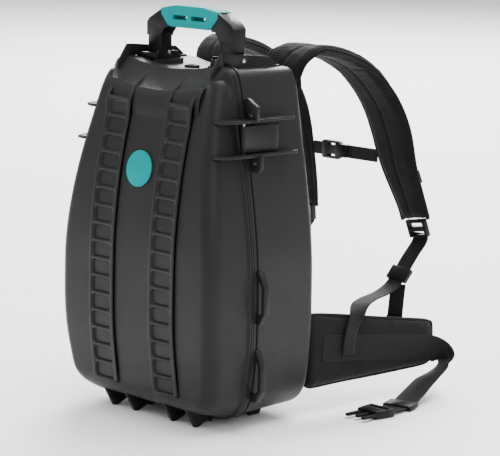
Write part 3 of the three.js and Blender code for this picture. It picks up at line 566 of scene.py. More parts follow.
@dataclass(frozen=True)
class Webbing:
    """Ribbed webbing: ribs run across the band, with woven selvedges along it."""

    name: str
    colour: tuple[float, float, float]
    ribs_per_metre: float = 420

    def material(self) -> bpy.types.Material:
        """Material of the finish."""
        n = Nodes(self.name)
        uv = n.add("ShaderNodeUVMap", uv_map="UVMap").outputs["UV"]
        split = n.add("ShaderNodeSeparateXYZ", {"Vector": uv})
        ribs = n.add("ShaderNodeMath", operation="SINE")
        count = n.add("ShaderNodeMath", operation="MULTIPLY")
        n.tree.links.new(split.outputs["Y"], count.inputs[0])
        count.inputs[1].default_value = self.ribs_per_metre * 2 * math.pi
        n.tree.links.new(count.outputs["Value"], ribs.inputs[0])
        warp = n.add("ShaderNodeMath", operation="SINE")
        wide = n.add("ShaderNodeMath", operation="MULTIPLY")
        n.tree.links.new(split.outputs["X"], wide.inputs[0])
        wide.inputs[1].default_value = 2 * math.pi * 900
        n.tree.links.new(wide.outputs["Value"], warp.inputs[0])
        both = n.add("ShaderNodeMath", operation="ADD")
        n.tree.links.new(ribs.outputs["Value"], both.inputs[0])
        n.tree.links.new(warp.outputs["Value"], both.inputs[1])
        tone = n.ramp(both.outputs["Value"], (0.0, tuple(c * 0.6 for c in self.colour)),
                      (1.0, tuple(c * 1.35 for c in self.colour)))
        n.put(n.shader, "Base Color", tone)
        n.shader.inputs["Roughness"].default_value = 0.75
        n.shader.inputs["Sheen Weight"].default_value = 0.05
        n.shader.inputs["Specular IOR Level"].default_value = 0.15
        n.put(n.shader, "Normal", n.bump(both.outputs["Value"], 0.45, 0.0004))
        return n.material


@dataclass(frozen=True)
class Finishes:
    """Every finish of the pack, made once."""

    shell: bpy.types.Material
    black: bpy.types.Material
    teal: bpy.types.Material
    steel: bpy.types.Material
    pad: bpy.types.Material
    trim: bpy.types.Material
    band: bpy.types.Material
    thread: bpy.types.Material

    @staticmethod
    def made() -> "Finishes":
        """Finishes with the photograph's colours."""
        return Finishes(
            shell=MouldedPlastic("shell_plastic", (0.010, 0.010, 0.0104), 0.38, grain=0.22,
                                 scuff=0.18).material(),
            black=MouldedPlastic("black_plastic", (0.004, 0.004, 0.0043), 0.4, grain=0.15).material(),
            teal=MouldedPlastic("teal_plastic", (0.0, 0.21, 0.215), 0.5, grain=0.1, scuff=0.08,
                                shine=0.04).material(),
            steel=Steel().material(),
            pad=WovenCloth("pad_cloth", (0.0045, 0.0045, 0.005)).material(),
            trim=WovenCloth("binding_cloth", (0.0035, 0.0035, 0.0038), thread=0.8, strength=0.3).material(),
            band=Webbing("strap_webbing", (0.0055, 0.0055, 0.006)).material(),
            thread=MouldedPlastic("sewing_thread", (0.016, 0.016, 0.017), 0.7, grain=0.3,
                                  scuff=0.3).material(),
        )


# ---------------------------------------------------------------- case


# Right half of the rim's outline, from the bottom middle to the top middle: shares of the half
# width and of the height.
RIM_ROWS = (
    (0, 0), (0.36, 0), (0.63, 0), (0.79, 0.016), (0.9, 0.052), (0.952, 0.106), (0.991, 0.222), (1, 0.362),
    (0.99, 0.482), (0.94, 0.622), (0.868, 0.76), (0.822, 0.843), (0.788, 0.913), (0.76, 0.955), (0.716, 0.986),
    (0.635, 1), (0.5, 0.998), (0.3, 0.987), (0, 0.981),
)
# Depth of the lid's face up its height: shares of the height and of the lid's depth.
FACE_ROWS = (
    (0, 0.82), (0.11, 0.9), (0.24, 0.99), (0.38, 1), (0.53, 0.965), (0.7, 0.825), (0.865, 0.585), (1, 0.33),
)
LIP_DROP = 0.019
HINGE_HEIGHT = 5.2
HINGE_INNER = 46
HINGE_LENGTH = 34
KNUCKLE_RADIUS = 4.2
BRACKET_SEAT = 505.2
BRACKET_TOP = 526
LATCH_FIN_HEIGHTS = (437, 390)
LATCH_FIN_REACHES = (156, 163)
FIT = 0.3


@dataclass(frozen=True)
class EdgeShape:
    """Rounding of the lid's edge: straight slope, reach over the face and reach into the depth."""

    draft: float
    reach: float
    into: float


LID_TOP = EdgeShape(24, 40, 13)
LID_SIDE = EdgeShape(1, 20, 24)
LID_BOTTOM = EdgeShape(8, 38, 40)


@dataclass
class CaseForm:
    """Outline and depths that the lid and the base share, in millimetres."""

    floor_to_rim: float = 10
    rim_height: float = 498
    half_width: float = 167
    lid_depth: float = 80
    base_depth: float = 127
    wall: float = 4
    rim_out: float = 3
    lid_rim: float = 8
    base_rim: float = 12
    base_radius: float = 14
    base_draft: float = 3
    gap: float = 0.3
    smooth: int = 4
    rim: list[tuple[float, float]] = field(init=False)
    normals: list[tuple[float, float]] = field(init=False)

    def __post_init__(self) -> None:
        """Lays the rim's points and their inward directions."""
        rows = list(RIM_ROWS) + [(-out, up) for out, up in RIM_ROWS[-2:0:-1]]
        corners = [Vector((out * self.half_width, self.floor_to_rim + up * self.rim_height, 0))
                   for out, up in rows]
        count = len(corners)
        self.rim = []
        for i in range(count):
            p0, p1, p2, p3 = (corners[(i + k) % count] for k in (-1, 0, 1, 2))
            for step in range(self.smooth):
                t = step / self.smooth
                p = (p1 * 2 + (p2 - p0) * t + (p0 * 2 - p1 * 5 + p2 * 4 - p3) * t * t
                     + (p1 * 3 - p0 - p2 * 3 + p3) * t ** 3) * 0.5
                self.rim.append((p.x, p.y))
        total = len(self.rim)
        self.normals = []
        for i in range(total):
            a, b = self.rim[i - 2], self.rim[(i + 2) % total]
            n = Vector((-(b[1] - a[1]), b[0] - a[0])).normalized()
            self.normals.append((n.x, n.y))

    @property
    def rim_top(self) -> float:
        """Height of the rim's highest point."""
        return self.floor_to_rim + self.rim_height

    def ring(self, inset: float, y: float) -> Ring:
        """The rim's outline drawn in by a distance, at a depth.

        Args:
            inset: How far it is drawn in, in millimetres.
            y: Depth from the seam.

        Returns:
            The ring in metres.
        """
        return [at(x + n[0] * inset, y, z + n[1] * inset) for (x, z), n in zip(self.rim, self.normals)]

    def half_at(self, z: float) -> float:
        """Half width of the wall at a height.

        Args:
            z: Height in millimetres.

        Returns:
            The half width in millimetres.
        """
        rows = [(up, out) for out, up in RIM_ROWS[3:15]]
        return sample(rows, (z - self.floor_to_rim) / self.rim_height) * self.half_width - self.rim_out

    def face(self, z: float) -> float:
        """Depth of the lid's front face at a height.

        Args:
            z: Height in millimetres.

        Returns:
            The depth in millimetres.
        """
        return sample(FACE_ROWS, (z - self.floor_to_rim) / self.rim_height) * self.lid_depth

    @staticmethod
    def edge(normal: tuple[float, float]) -> EdgeShape:
        """Rounding of the lid's edge for a direction of the rim.

        Args:
            normal: Inward direction of the rim.

        Returns:
            The rounding.
        """
        vertical = LID_BOTTOM if normal[1] > 0 else LID_TOP
        across, along = normal[0] ** 2, normal[1] ** 2
        return EdgeShape(
            along * vertical.draft + across * LID_SIDE.draft,
            along * vertical.reach + across * LID_SIDE.reach,
            along * vertical.into + across * LID_SIDE.into,
        )

    def lid_rings(self, thickness: float, start_y: float, arcs: int, shares: Sequence[float]) -> list[Ring]:
        """Rings of the lid from the seam to the middle of its face.

        Args:
            thickness: How far inside the outer surface the rings lie.
            start_y: Depth of the first ring.
            arcs: Steps round the edge.
            shares: Places of the face's rings, from its edge to its middle.

        Returns:
            The rings in metres.
        """
        rows = [self.ring(self.rim_out + thickness, start_y)]
        flat: list[tuple[float, float]] = []
        for k in range(arcs + 1):
            angle = k / arcs * math.pi / 2
            row = []
            flat = []
            for (x, z), n in zip(self.rim, self.normals):
                edge = self.edge(n)
                deep = self.face(z + n[1] * (self.rim_out + edge.draft + edge.reach))
                into = min(edge.into, deep - self.lid_rim - self.rim_out)
                inset = (self.rim_out + thickness + edge.draft
                         + (edge.reach - thickness) * (1 - math.cos(angle)))
                depth = deep - into + (into - thickness) * math.sin(angle)
                flat.append((x + n[0] * inset, z + n[1] * inset))
                row.append(at(x + n[0] * inset, -depth, z + n[1] * inset))
            rows.append(row)
        middle = self.floor_to_rim + self.rim_height / 2
        for share in shares:
            row = []
            for x, z in flat:
                height = middle + (z - middle) * share
                row.append(at(x * share, thickness - self.face(height), height))
            rows.append(row)
        return rows

    def slope(self, z: float) -> float:
        """Depth of the front on a ladder band, with the slope that leads up to the lip.

        Args:
            z: Height in millimetres.

        Returns:
            The depth in millimetres.
        """
        top = LID_TOP
        lip = self.rim_top - LIP_DROP * self.rim_height - self.rim_out
        end = lip - top.draft - top.reach
        if z <= end:
            return self.face(z)
        deep = self.face(end)
        if z >= lip - top.draft:
            t = min((z - lip + top.draft) / top.draft, 1)
            return (1 - t) * (deep - top.into) + t * self.lid_rim
        c = 1 - (lip - top.draft - z) / top.reach
        return deep - top.into + top.into * math.sqrt(max(0.0, 1 - c * c))


def knuckle(sign: int, start: float, end: float, toward: int) -> list[bpy.types.Object]:
    """Hinge barrel between two shares of the hinge's length, with the web that carries it.

    Args:
        sign: Side of the pack, -1 for left and 1 for right.
        start: First share of the length.
        end: Last share of the length.
        toward: -1 for the lid and 1 for the base.

    Returns:
        The barrel and its web.
    """
    low, high = sorted(sign * (HINGE_INNER + share * HINGE_LENGTH) for share in (start, end))
    barrel = rod("barrel", at(low, 0, HINGE_HEIGHT), at(high, 0, HINGE_HEIGHT), KNUCKLE_RADIUS)
    web = [(toward * 0.4, HINGE_HEIGHT), (toward * 10, HINGE_HEIGHT), (toward * 10, 17), (toward * 0.4, 17)]
    return [barrel, plate("web", Plane.YZ, web, low, high, 0.3)]


@dataclass
class Lid:
    """Front half of the case: skin, ladder bands with their cells, fins, knuckles and badge."""

    form: CaseForm
    band_inner: float = 37.7
    band_width: float = 52.6
    band_raise: float = 3.5
    rail: float = 6
    pitch: float = 25.35
    cells: int = 16
    top_rung: float = 454.4
    cell_corner: float = 6
    fin_thick: float = 4

    def skin(self) -> bpy.types.Object:
        """Closed wall of the lid, with its lip and its round edge."""
        f = self.form
        outside = [f.ring(f.wall + f.rim_out, -f.gap), f.ring(0.6, -f.gap), f.ring(0, -0.9),
                   f.ring(0, -3.2), f.ring(1.1, -3.8), f.ring(1.1, -4.6), f.ring(0, -5.2),
                   f.ring(0, 1 - f.lid_rim), f.ring(1, -f.lid_rim)]
        shares = [1 - (k + 1) / 13 for k in range(12)]
        outside += [f.ring(f.rim_out - 1, -f.lid_rim - 0.4)] + f.lid_rings(0, -f.lid_rim - 1.2, 14, shares)
        inside = f.lid_rings(f.wall, -f.gap, 8, shares[::3])
        shell = surface("lid_wall_out", outside, capped=False)
        lining = surface("lid_wall_in", inside, capped=False)
        obj = joined("lid_wall", [shell, lining])
        edit(obj, lambda: bpy.ops.mesh.remove_doubles(threshold=1e-6), fill_ends,
             lambda: bpy.ops.mesh.normals_make_consistent(inside=False))
        return soften(obj, 0)

    def cell(self, sign: int, high: float) -> bpy.types.Object:
        """One cell's raised frame with its rounded recess, from the rung above to the rung below.

        Args:
            sign: Side of the pack, -1 for left and 1 for right.
            high: Height of its upper edge.

        Returns:
            The cell.
        """
        f, count = self.form, 8
        middle_x = sign * (self.band_inner + self.band_width / 2)
        half, tall = self.band_width / 2, self.pitch / 2
        middle = high - tall

        def loop(reach: float, rise: float, corner: float, lift: float) -> Ring:
            """Rounded rectangle laid on the band at a lift over its face.

            Args:
                reach: Half its width.
                rise: Half its height.
                corner: Corner radius.
                lift: Distance over the face.

            Returns:
                The ring.
            """
            points = []
            for cx, cz, start in ((1, 1, 0), (-1, 1, 90), (-1, -1, 180), (1, -1, 270)):
                for k in range(count):
                    a = math.radians(start + 90 * k / (count - 1))
                    x = cx * (reach - corner) + corner * math.cos(a)
                    z = middle + cz * (rise - corner) + corner * math.sin(a)
                    points.append(at(middle_x + x, -(f.slope(z) + lift), z))
            return points

        open_x, open_z = half - self.rail - 0.5, tall - 2.6
        top = self.band_raise
        rings = [
            loop(half, tall, 0.01, -2.5), loop(half, tall, 0.01, top - 1.2),
            loop(half - 0.35, tall, 0.01, top - 0.35), loop(half - 1.2, tall, 0.01, top),
            loop(open_x + 1.3, open_z + 1.0, self.cell_corner, top - 0.25),
            loop(open_x + 0.5, open_z + 0.4, self.cell_corner, top - 0.8),
            loop(open_x, open_z, self.cell_corner, top - 1.8),
            loop(open_x - 0.6, open_z - 0.6, self.cell_corner, 0.2),
            loop(open_x - 1.4, open_z - 1.4, self.cell_corner - 1, -0.35),
            loop(open_x * 0.5, open_z * 0.5, 1.5, -0.35),
        ]
        return surface("cell", rings)

    def band_end(self, sign: int, across: float) -> bpy.types.Object:
        """Rail of a band above its top rung and below its last one, with the foot that it ends in.

        Args:
            sign: Side of the pack, -1 for left and 1 for right.
            across: Inner edge of the rail.

        Returns:
            The rail.
        """
        f = self.form
        top = f.rim_top - LIP_DROP * f.rim_height - 6
        bottom = f.floor_to_rim + 52
        outline = [(-(f.slope(z) + self.band_raise), z) for z in
                   [top + (bottom - top) * k / 40 for k in range(41)]]
        outline += [(-39, 0.0), (-32, 0.0), (-f.lid_rim - 1, 9), (-f.lid_rim - 1, 30), (-24, 60)]
        heights = [60 + (top - 64) * k / 30 for k in range(31)]
        outline += [(-(f.slope(z) - 3), z) for z in heights] + [(-3, top)]
        low, high = sorted((sign * across, sign * (across + self.rail)))
        return plate("rail", Plane.YZ, outline, low, high, 0.9)

    def fins(self) -> list[bpy.types.Object]:
        """Fins that guard the latches, on both sides."""
        outlines = (
            [(96, -20), (116, -36), (131, -45), (146, -40), (154, -25), (156, -8)],
            [(103, -28), (123, -46), (139, -55), (153, -52), (161, -36), (163, -10)],
        )
        half = self.fin_thick / 2
        out = []
        for height, reach, outline in zip(LATCH_FIN_HEIGHTS, LATCH_FIN_REACHES, outlines):
            for _, sign in SIDES:
                points = [(sign * x, y) for x, y in outline + [(reach, -0.3), (outline[0][0], -0.3)]]
                out.append(plate("fin", Plane.XY, points, height - half, height + half, 0.7))
        return out

    def cheeks(self) -> list[bpy.types.Object]:
        """Lid's own ends of the handle's bracket plates."""
        outline = [(-24, 490), (-24, 500), (-6, BRACKET_TOP), (-FIT, BRACKET_TOP), (-FIT, 490)]
        return [plate("cheek", Plane.YZ, outline, *sorted((sign * 96.9, sign * 99.9)), 0.7)
                for _, sign in SIDES]

    def knuckles(self) -> list[bpy.types.Object]:
        """Lid's hinge barrels with their webs."""
        out = []
        for _, sign in SIDES:
            out += knuckle(sign, 0.34, 0.66, -1)
        return out

    def build(self, looks: Finishes) -> None:
        """Builds and dresses the lid.

        Args:
            looks: The finishes.
        """
        parts = [self.skin()]
        for _, sign in SIDES:
            parts += [soften(self.cell(sign, self.top_rung - k * self.pitch), 0) for k in range(self.cells)]
            for across in (self.band_inner, self.band_inner + self.band_width - self.rail):
                parts.append(self.band_end(sign, across))
            for z in (self.top_rung, self.top_rung - self.cells * self.pitch):
                front = self.form.slope(z) + self.band_raise - 0.3
                back = front - 9
                outline = [(-front, z - 2.7), (-front, z + 2.7), (-back, z + 2.7), (-back, z - 2.7)]
                edges = (self.band_inner + 2, self.band_inner + self.band_width - 2)
                low, high = sorted(sign * x for x in edges)
                parts.append(plate("rung", Plane.YZ, outline, low, high, 0.9))
        parts += self.fins() + self.cheeks() + self.knuckles()
        lid = joined("lid_dressed", parts)
        dress(lid, looks.shell, Body.LID, "shell", "lid_shell")
        badge = copied("badge", "badge_disc", 0.8)
        dress(badge, looks.teal, Body.LID, "teal_plastic", "badge")


@dataclass
class Base:
    """Deep half of the case, with its double rim, fins, strap loops, ears and runners."""

    form: CaseForm
    fin_end: float = 88
    loop_length: float = 75
    loop_out: float = 16
    loop_bar: float = 7
    loop_thick: float = 10

    def skin(self) -> bpy.types.Object:
        """Closed wall of the base with the two ridges of its rim."""
        f = self.form
        steps = (
            (f.wall + f.rim_out, f.gap), (0.5, f.gap), (0, f.gap + 0.5), (0, 3.9), (0.5, 4.4), (2.4, 4.9),
            (2.8, 5.6), (2.8, 7.0), (2.4, 7.6), (0.5, 8.1), (0, 8.6), (0, f.base_rim - 0.6), (0.7, f.base_rim),
            (f.rim_out - 0.9, f.base_rim + 0.5), (f.rim_out, f.base_rim + 1.5),
        )
        outside = [f.ring(inset, depth) for inset, depth in steps]
        for k in range(11):
            a = k / 10 * math.pi / 2
            inset = f.rim_out + f.base_draft + f.base_radius * (1 - math.cos(a))
            outside.append(f.ring(inset, f.base_depth - f.base_radius + f.base_radius * math.sin(a)))
        inside = [f.ring(f.wall + f.rim_out, f.gap)]
        for k in range(6):
            a = k / 5 * math.pi / 2
            reach = f.base_radius - f.wall
            inset = f.rim_out + f.base_draft + f.wall + reach * (1 - math.cos(a))
            inside.append(f.ring(inset, f.base_depth - f.base_radius + reach * math.sin(a)))
        walls = [surface("out", outside, capped=False), surface("in", inside, capped=False)]
        obj = joined("base_wall", walls)
        edit(obj, lambda: bpy.ops.mesh.remove_doubles(threshold=1e-6), fill_ends,
             lambda: bpy.ops.mesh.normals_make_consistent(inside=False))
        return soften(obj, 0)

    def loop(self, sign: int, height: float) -> bpy.types.Object:
        """Strap loop like a letter C, with its slot.

        Args:
            sign: Side of the pack, -1 for left and 1 for right.
            height: Height of its middle.

        Returns:
            The loop.
        """
        f = self.form
        root = f.half_at(height)
        low, high = height - self.loop_length / 2, height + self.loop_length / 2
        out = root + f.rim_out + self.loop_out
        inner = [(out - self.loop_bar - 7, low + 11), (out - self.loop_bar, low + 18),
                 (out - self.loop_bar, high - 21), (out - self.loop_bar - 7, high - 11)]
        outline = [(root - 2, low), (root + 8, low), (out, low + 17), (out, high - 20), (root + 8, high),
                   (root - 2, high), (root - 2, high - 11), *reversed(inner), (root - 2, low + 11)]
        return plate("loop", Plane.XZ, [(sign * x, z) for x, z in outline], 4, 4 + self.loop_thick, 1.2)

    def ears(self) -> list[bpy.types.Object]:
        """Padlock ears, each with a round hole."""
        rows = (
            ((147, 446), [(116, 437), (159, 437), (159, 457), (139, 468), (132, 465), (116, 464)]),
            ((156.5, 377), [(126, 390), (168, 390), (168, 372), (163, 366), (126, 366)]),
        )
        out = []
        for (hole_x, hole_z), outline in rows:
            for _, sign in SIDES:
                ear = plate("ear", Plane.XZ, [(sign * x, z) for x, z in outline], 8, 14, 0.8)
                bore = rod("bore", at(sign * hole_x, 0, hole_z), at(sign * hole_x, 30, hole_z), 4, 0, 24)
                apply(ear, "BOOLEAN", object=bore, operation="DIFFERENCE", solver="EXACT")
                bpy.data.objects.remove(bore)
                out.append(soften(ear, 0))
        return out

    def fittings(self) -> list[bpy.types.Object]:
        """Fins, runners, seats, keepers, hinge barrels and the valve's boss."""
        f = self.form
        out = []
        for height, reach in zip(LATCH_FIN_HEIGHTS, LATCH_FIN_REACHES):
            outline = [(100, FIT), (reach, FIT), (reach, self.fin_end - 4), (reach - 4, self.fin_end),
                       (100, self.fin_end + 6)]
            for _, sign in SIDES:
                points = [(sign * x, y) for x, y in outline]
                out.append(plate("fin", Plane.XY, points, height - 2, height + 2, 0.7))
        runner = [(6, 22), (12, 6), (64, 4), (66, 0), (86, 0), (100, 24), (100, 30), (6, 30)]
        for _, sign in SIDES:
            for x in (40.7, 87.3):
                out.append(plate("runner", Plane.YZ, runner, sign * x - 3, sign * x + 3, 0.9))
            for start, end, reach in ((53.4, 59.4, 64), (92.9, 101.9, 106)):
                low, high = sorted((sign * start, sign * end))
                seat = [(12, 482), (reach, 482), (reach, BRACKET_SEAT), (12, BRACKET_SEAT)]
                out.append(plate("seat", Plane.YZ, seat, low, high, 0.6))
            low, high = sorted((sign * 112, sign * 144))
            keeper = [(low, 398), (high, 398), (high, 427), (low, 427)]
            out.append(plate("keeper", Plane.XZ, keeper, 22, 34, 0.8))
            out += knuckle(sign, 0, 0.33, 1) + knuckle(sign, 0.67, 1, 1)
        out.append(rod("boss", at(4, 28, 484), at(4, 28, 496), 13, 0.8, 36))
        out.append(plate("loop_seat", Plane.XY, [(31, 31), (49, 31), (49, 41), (31, 41)], 484, 498, 0.6))
        return out

    def build(self, looks: Finishes) -> None:
        """Builds and dresses the base and the small parts on it.

        Args:
            looks: The finishes.
        """
        parts = [self.skin()] + self.fittings() + self.ears()
        parts += [self.loop(sign, height) for _, sign in SIDES for height in (191.5, 80)]
        moulded = [f"{kind}_{place}_{name}" for kind in ("latch_guard", "side_loop")
                   for place in ("upper", "lower") for name, _ in SIDES]
        dress(joined("base_dressed", parts), looks.shell, Body.BASE, "shell", "base_shell", *moulded)
        dress(self.valve(), looks.black, Body.BASE, "black_plastic", "valve_knob")

    def valve(self) -> bpy.types.Object:
        """Pressure valve's knob, with grip notches round its edge."""
        rings = []
        profile = (
            (11, 496.3), (11, 500.5), (10.2, 501.6), (8.6, 502.3), (6.5, 502.3), (5.8, 501.2), (0.6, 501.2),
        )
        for radius, z in profile:
            ring = []
            for k in range(72):
                a = 2 * math.pi * k / 72
                notch = 0.55 if k % 4 < 2 and radius > 9 else 0
                ring.append(at(4 + (radius - notch) * math.cos(a), 28 + (radius - notch) * math.sin(a), z))
            rings.append(ring)
        return soften(surface("valve_cap", rings), 0)


@dataclass
class Hardware:
    """Handle, brackets, pins, latches and buckles: the CAD forms with eased edges."""

    def build(self, looks: Finishes) -> None:
        """Builds and dresses the hard fittings.

        Args:
            looks: The finishes.
        """
        dress(copied("handle_frame", "handle_posts", 1.6), looks.black, Body.HANDLE, "black_plastic",
              "handle_frame")
        dress(copied("handle_grip", "handle_grip_teal", 1.8), looks.teal, Body.HANDLE, "teal_plastic",
              "handle_grip")
        for name, _ in SIDES:
            latch = Body.LATCH_LEFT if name == "left" else Body.LATCH_RIGHT
            dress(copied(f"latch_{name}", f"latch_plate_{name}", 0.9), looks.shell, latch, "shell",
                  f"latch_{name}")
            for node, eased in (
                (f"bracket_{name}", 0.7), (f"strap_ring_{name}", 0.8), (f"strap_slider_{name}", 0.8),
                (f"ladder_lock_{name}", 1.2), (f"lower_slider_{name}", 1.2), (f"waist_slider_{name}", 1.2),
                (f"waist_buckle_{name}", 1.5),
            ):
                dress(copied(node, f"{node}_eased", eased), looks.black, Body.BASE, "black_plastic", node)
            for node in (f"handle_pin_{name}", f"hinge_pin_{name}"):
                dress(copied(node, f"{node}_eased", 0.3), looks.steel, Body.BASE, "steel", node)
            dress(copied(f"latch_pin_{name}", f"latch_pin_{name}_eased", 0.2), looks.steel, Body.LID,
                  "steel", f"latch_pin_{name}")
        dress(copied("chest_buckle", "chest_buckle_eased", 1.6), looks.black, Body.BASE, "black_plastic",
              "chest_buckle")
        wire = copied("top_loop", "top_loop_wire", 0)
        apply(wire, "SUBSURF", levels=2, render_levels=2)
        dress(soften(wire, 0), looks.steel, Body.BASE, "steel", "top_loop")


# ---------------------------------------------------------------- harness


def padded_form(node: str, name: str, voxel: float, shrink: float, cap: float,
                smooth: int = 8) -> bpy.types.Object:
    """Stuffed form of a soft CAD solid: remeshed, blown up as cloth and held near its start.

    Args:
        node: The CAD node.
        name: The piece's name.
        voxel: Remesh size in millimetres.
        shrink: How far the start lies inside the solid, in millimetres.
        cap: The furthest that a point may move, in millimetres.
        smooth: Passes that round the start's edges.

    Returns:
        The piece, closed and evenly meshed.
    """
    obj = copied(node, name, 0)
    size = voxel * 1
    apply(obj, "REMESH", mode="VOXEL", voxel_size=size * MM, use_smooth_shade=True)
    apply(obj, "SMOOTH", factor=0.5, iterations=smooth)
    for v in obj.data.vertices:
        v.co -= v.normal * shrink * MM
    start = [v.co.copy() for v in obj.data.vertices]
    cloth = obj.modifiers.new("filling", "CLOTH")
    cloth.settings.use_pressure = True
    cloth.settings.uniform_pressure_force = 4
    cloth.settings.effector_weights.gravity = 0
    cloth.settings.quality = 4
    cloth.point_cache.frame_end = 20
    for frame_number in range(1, 21):
        bpy.context.scene.frame_set(frame_number)
    blown = obj.evaluated_get(bpy.context.evaluated_depsgraph_get())
    moved = [v.co.copy() for v in blown.data.vertices]
    obj.modifiers.remove(cloth)
    bpy.context.scene.frame_set(1)
    for v, a, b in zip(obj.data.vertices, start, moved):
        step = b - a
        v.co = a + step * min(1.0, cap * MM / max(step.length, 1e-9))
    apply(obj, "SMOOTH", factor=0.4, iterations=2)
    apply(obj, "SUBSURF", levels=1, render_levels=1)
    only(obj)
    bpy.ops.object.shade_smooth()
    return obj


def frames_along(path: Sequence[Vector],
                 side: Callable[[float], Vector]) -> list[tuple[Vector, Vector, Vector]]:
    """Place, side and outward direction at each point of a path.

    Args:
        path: The path.
        side: Direction across it at a share of its length.

    Returns:
        Place, side and outward direction of each point.
    """
    out = []
    last = len(path) - 1
    for k, p in enumerate(path):
        tangent = (path[min(k + 1, last)] - path[max(k - 1, 0)]).normalized()
        s = side(k / last).copy()
        s = (s - tangent * s.dot(tangent)).normalized()
        out.append((p, s, s.cross(tangent).normalized()))
    return out


def band(name: str, path: Sequence[Vector], side: Callable[[float], Vector], width: float, thick: float,
         ripple: float = 0.0) -> bpy.types.Object:
    """Flat webbing with round selvedges, its UV map in metres across and along.

    Args:
        name: The piece's name.
        path: Middle line in metres.
        side: Direction across the band at a share of its length.
        width: Width in millimetres.
        thick: Thickness in millimetres.
        ripple: Height of its slight waves, in millimetres.

    Returns:
        The band.
    """
    w, t = width * MM / 2, thick * MM / 2
    r = t * 0.9
    turn = r * 0.3
    section = [(-w + r, -t), (-w * 0.5, -t), (0, -t), (w * 0.5, -t), (w - r, -t), (w - turn, -t * 0.7),
               (w, 0), (w - turn, t * 0.7), (w - r, t), (w * 0.5, t), (0, t), (-w * 0.5, t), (-w + r, t),
               (-w + turn, t * 0.7), (-w, 0), (-w + turn, -t * 0.7)]
    rings = []
    lengths = [0.0]
    for a, b in zip(path, path[1:]):
        lengths.append(lengths[-1] + (b - a).length)
    for k, (p, s, n) in enumerate(frames_along(path, side)):
        wave = ripple * MM * noise.noise(Vector((lengths[k] * 28, width, thick)))
        rings.append([p + s * u + n * (v + wave) for u, v in section])
    obj = surface(name, rings)
    layer = obj.data.uv_layers.active or obj.data.uv_layers.new(name="UVMap")
    layer.name = "UVMap"
    for loop in obj.data.loops:
        u, v = layer.data[loop.index].uv
        place = min(max(v, 0.0), 1.0) * (len(lengths) - 1)
        i = min(int(place), len(lengths) - 2)
        run = lengths[i] + (lengths[i + 1] - lengths[i]) * (place - i)
        layer.data[loop.index].uv = (u * (2 * width + 2 * thick) * MM, run)
    only(obj)
    bpy.ops.object.shade_smooth()
    return obj


def piping(name: str, path: Sequence[Vector], radius: float, count: int = 10) -> bpy.types.Object:
    """Round cord sewn along an edge.

    Args:
        name: The piece's name.
        path: Middle line.
        radius: Radius in millimetres.
        count: Points round it.

    Returns:
        The cord.
    """
    rings = []
    for p, s, n in frames_along(path, lambda _: Vector((0.3, 1, 0.2))):
        rings.append([p + (s * math.cos(a) + n * math.sin(a)) * radius * MM
                      for a in (2 * math.pi * k / count for k in range(count))])
    obj = surface(name, rings)
    only(obj)
    bpy.ops.object.shade_smooth()
    return obj


def stitches(name: str, path: Sequence[Vector], pitch: float = 4.2, length: float = 2.9,
             radius: float = 0.45) -> bpy.types.Object:
    """Row of thread stitches along a path, one modelled form copied at an even pitch.

    Args:
        name: The piece's name.
        path: Line of the row.
        pitch: Distance between stitches.
        length: Length of a stitch.
        radius: Radius of the thread.

    Returns:
        The row.
    """
    lengths = [0.0]
    for a, b in zip(path, path[1:]):
        lengths.append(lengths[-1] + (b - a).length)

    def on(run: float) -> Vector:
        """Place on the path at a length along it.

        Args:
            run: Length along the path in metres.

        Returns:
            The place.
        """
        i = next((k for k in range(len(lengths) - 1) if lengths[k + 1] >= run), len(lengths) - 2)
        t = (run - lengths[i]) / max(lengths[i + 1] - lengths[i], 1e-9)
        return path[i].lerp(path[i + 1], min(max(t, 0), 1))

    mesh = bmesh.new()
    count = max(int(lengths[-1] / (pitch * MM)), 1)
    for k in range(count):
        a, b = on(k * pitch * MM), on((k * pitch + length) * MM)
        along = (b - a).normalized()
        side = along.orthogonal().normalized()
        other = along.cross(side)
        rings = []
        for t, r in ((0.0, 0.35), (0.25, 1.0), (0.75, 1.0), (1.0, 0.35)):
            centre = a.lerp(b, t)
            spokes = [side * math.cos(q) + other * math.sin(q) for q in (2 * math.pi * j / 6 for j in range(6))]
            rings.append([mesh.verts.new(centre + spoke * r * radius * MM) for spoke in spokes])
        for low, high in zip(rings, rings[1:]):
            for j in range(6):
                mesh.faces.new((low[j], low[(j + 1) % 6], high[(j + 1) % 6], high[j]))
        mesh.faces.new(rings[0][::-1])
        mesh.faces.new(rings[-1])
    bmesh.ops.recalc_face_normals(mesh, faces=mesh.faces)
    data = bpy.data.meshes.new(name)
    mesh.to_mesh(data)
    mesh.free()
    obj = bpy.data.objects.new(name, data)
    bpy.context.scene.collection.objects.link(obj)
    only(obj)
    bpy.ops.object.shade_smooth()
    return obj


# Middle line of a shoulder strap: out, back, up, and the left one's shift to the middle.
STRAP_ROWS = (
    (70, 139.5, 471, 0), (70.5, 140, 490, 0), (78, 151, 511, 0), (86, 175, 522, 2), (91, 203, 518, 4),
    (94, 230, 509, 7), (98, 257, 495, 10), (102, 283, 472, 14), (107, 308, 440, 17), (111, 327, 400, 20),
    (114, 345, 341, 20), (120, 367, 284, 16), (123, 375, 258, 14),
)
# Middle line of the lower webbing, in the same columns.
LOWER_ROWS = (
    (125, 383, 237, 14), (124, 385, 225, 14), (124.5, 364, 204, 8), (125, 344, 183, 4), (125.5, 326, 166, 2),
    (128, 299, 156, 1),
    (133, 265, 152, 0), (142, 238, 147, 0), (152.5, 220, 136, 0), (154.5, 210, 118, 0), (153.5, 206, 100, 0),
    (152.4, 205, 80, 0),
)
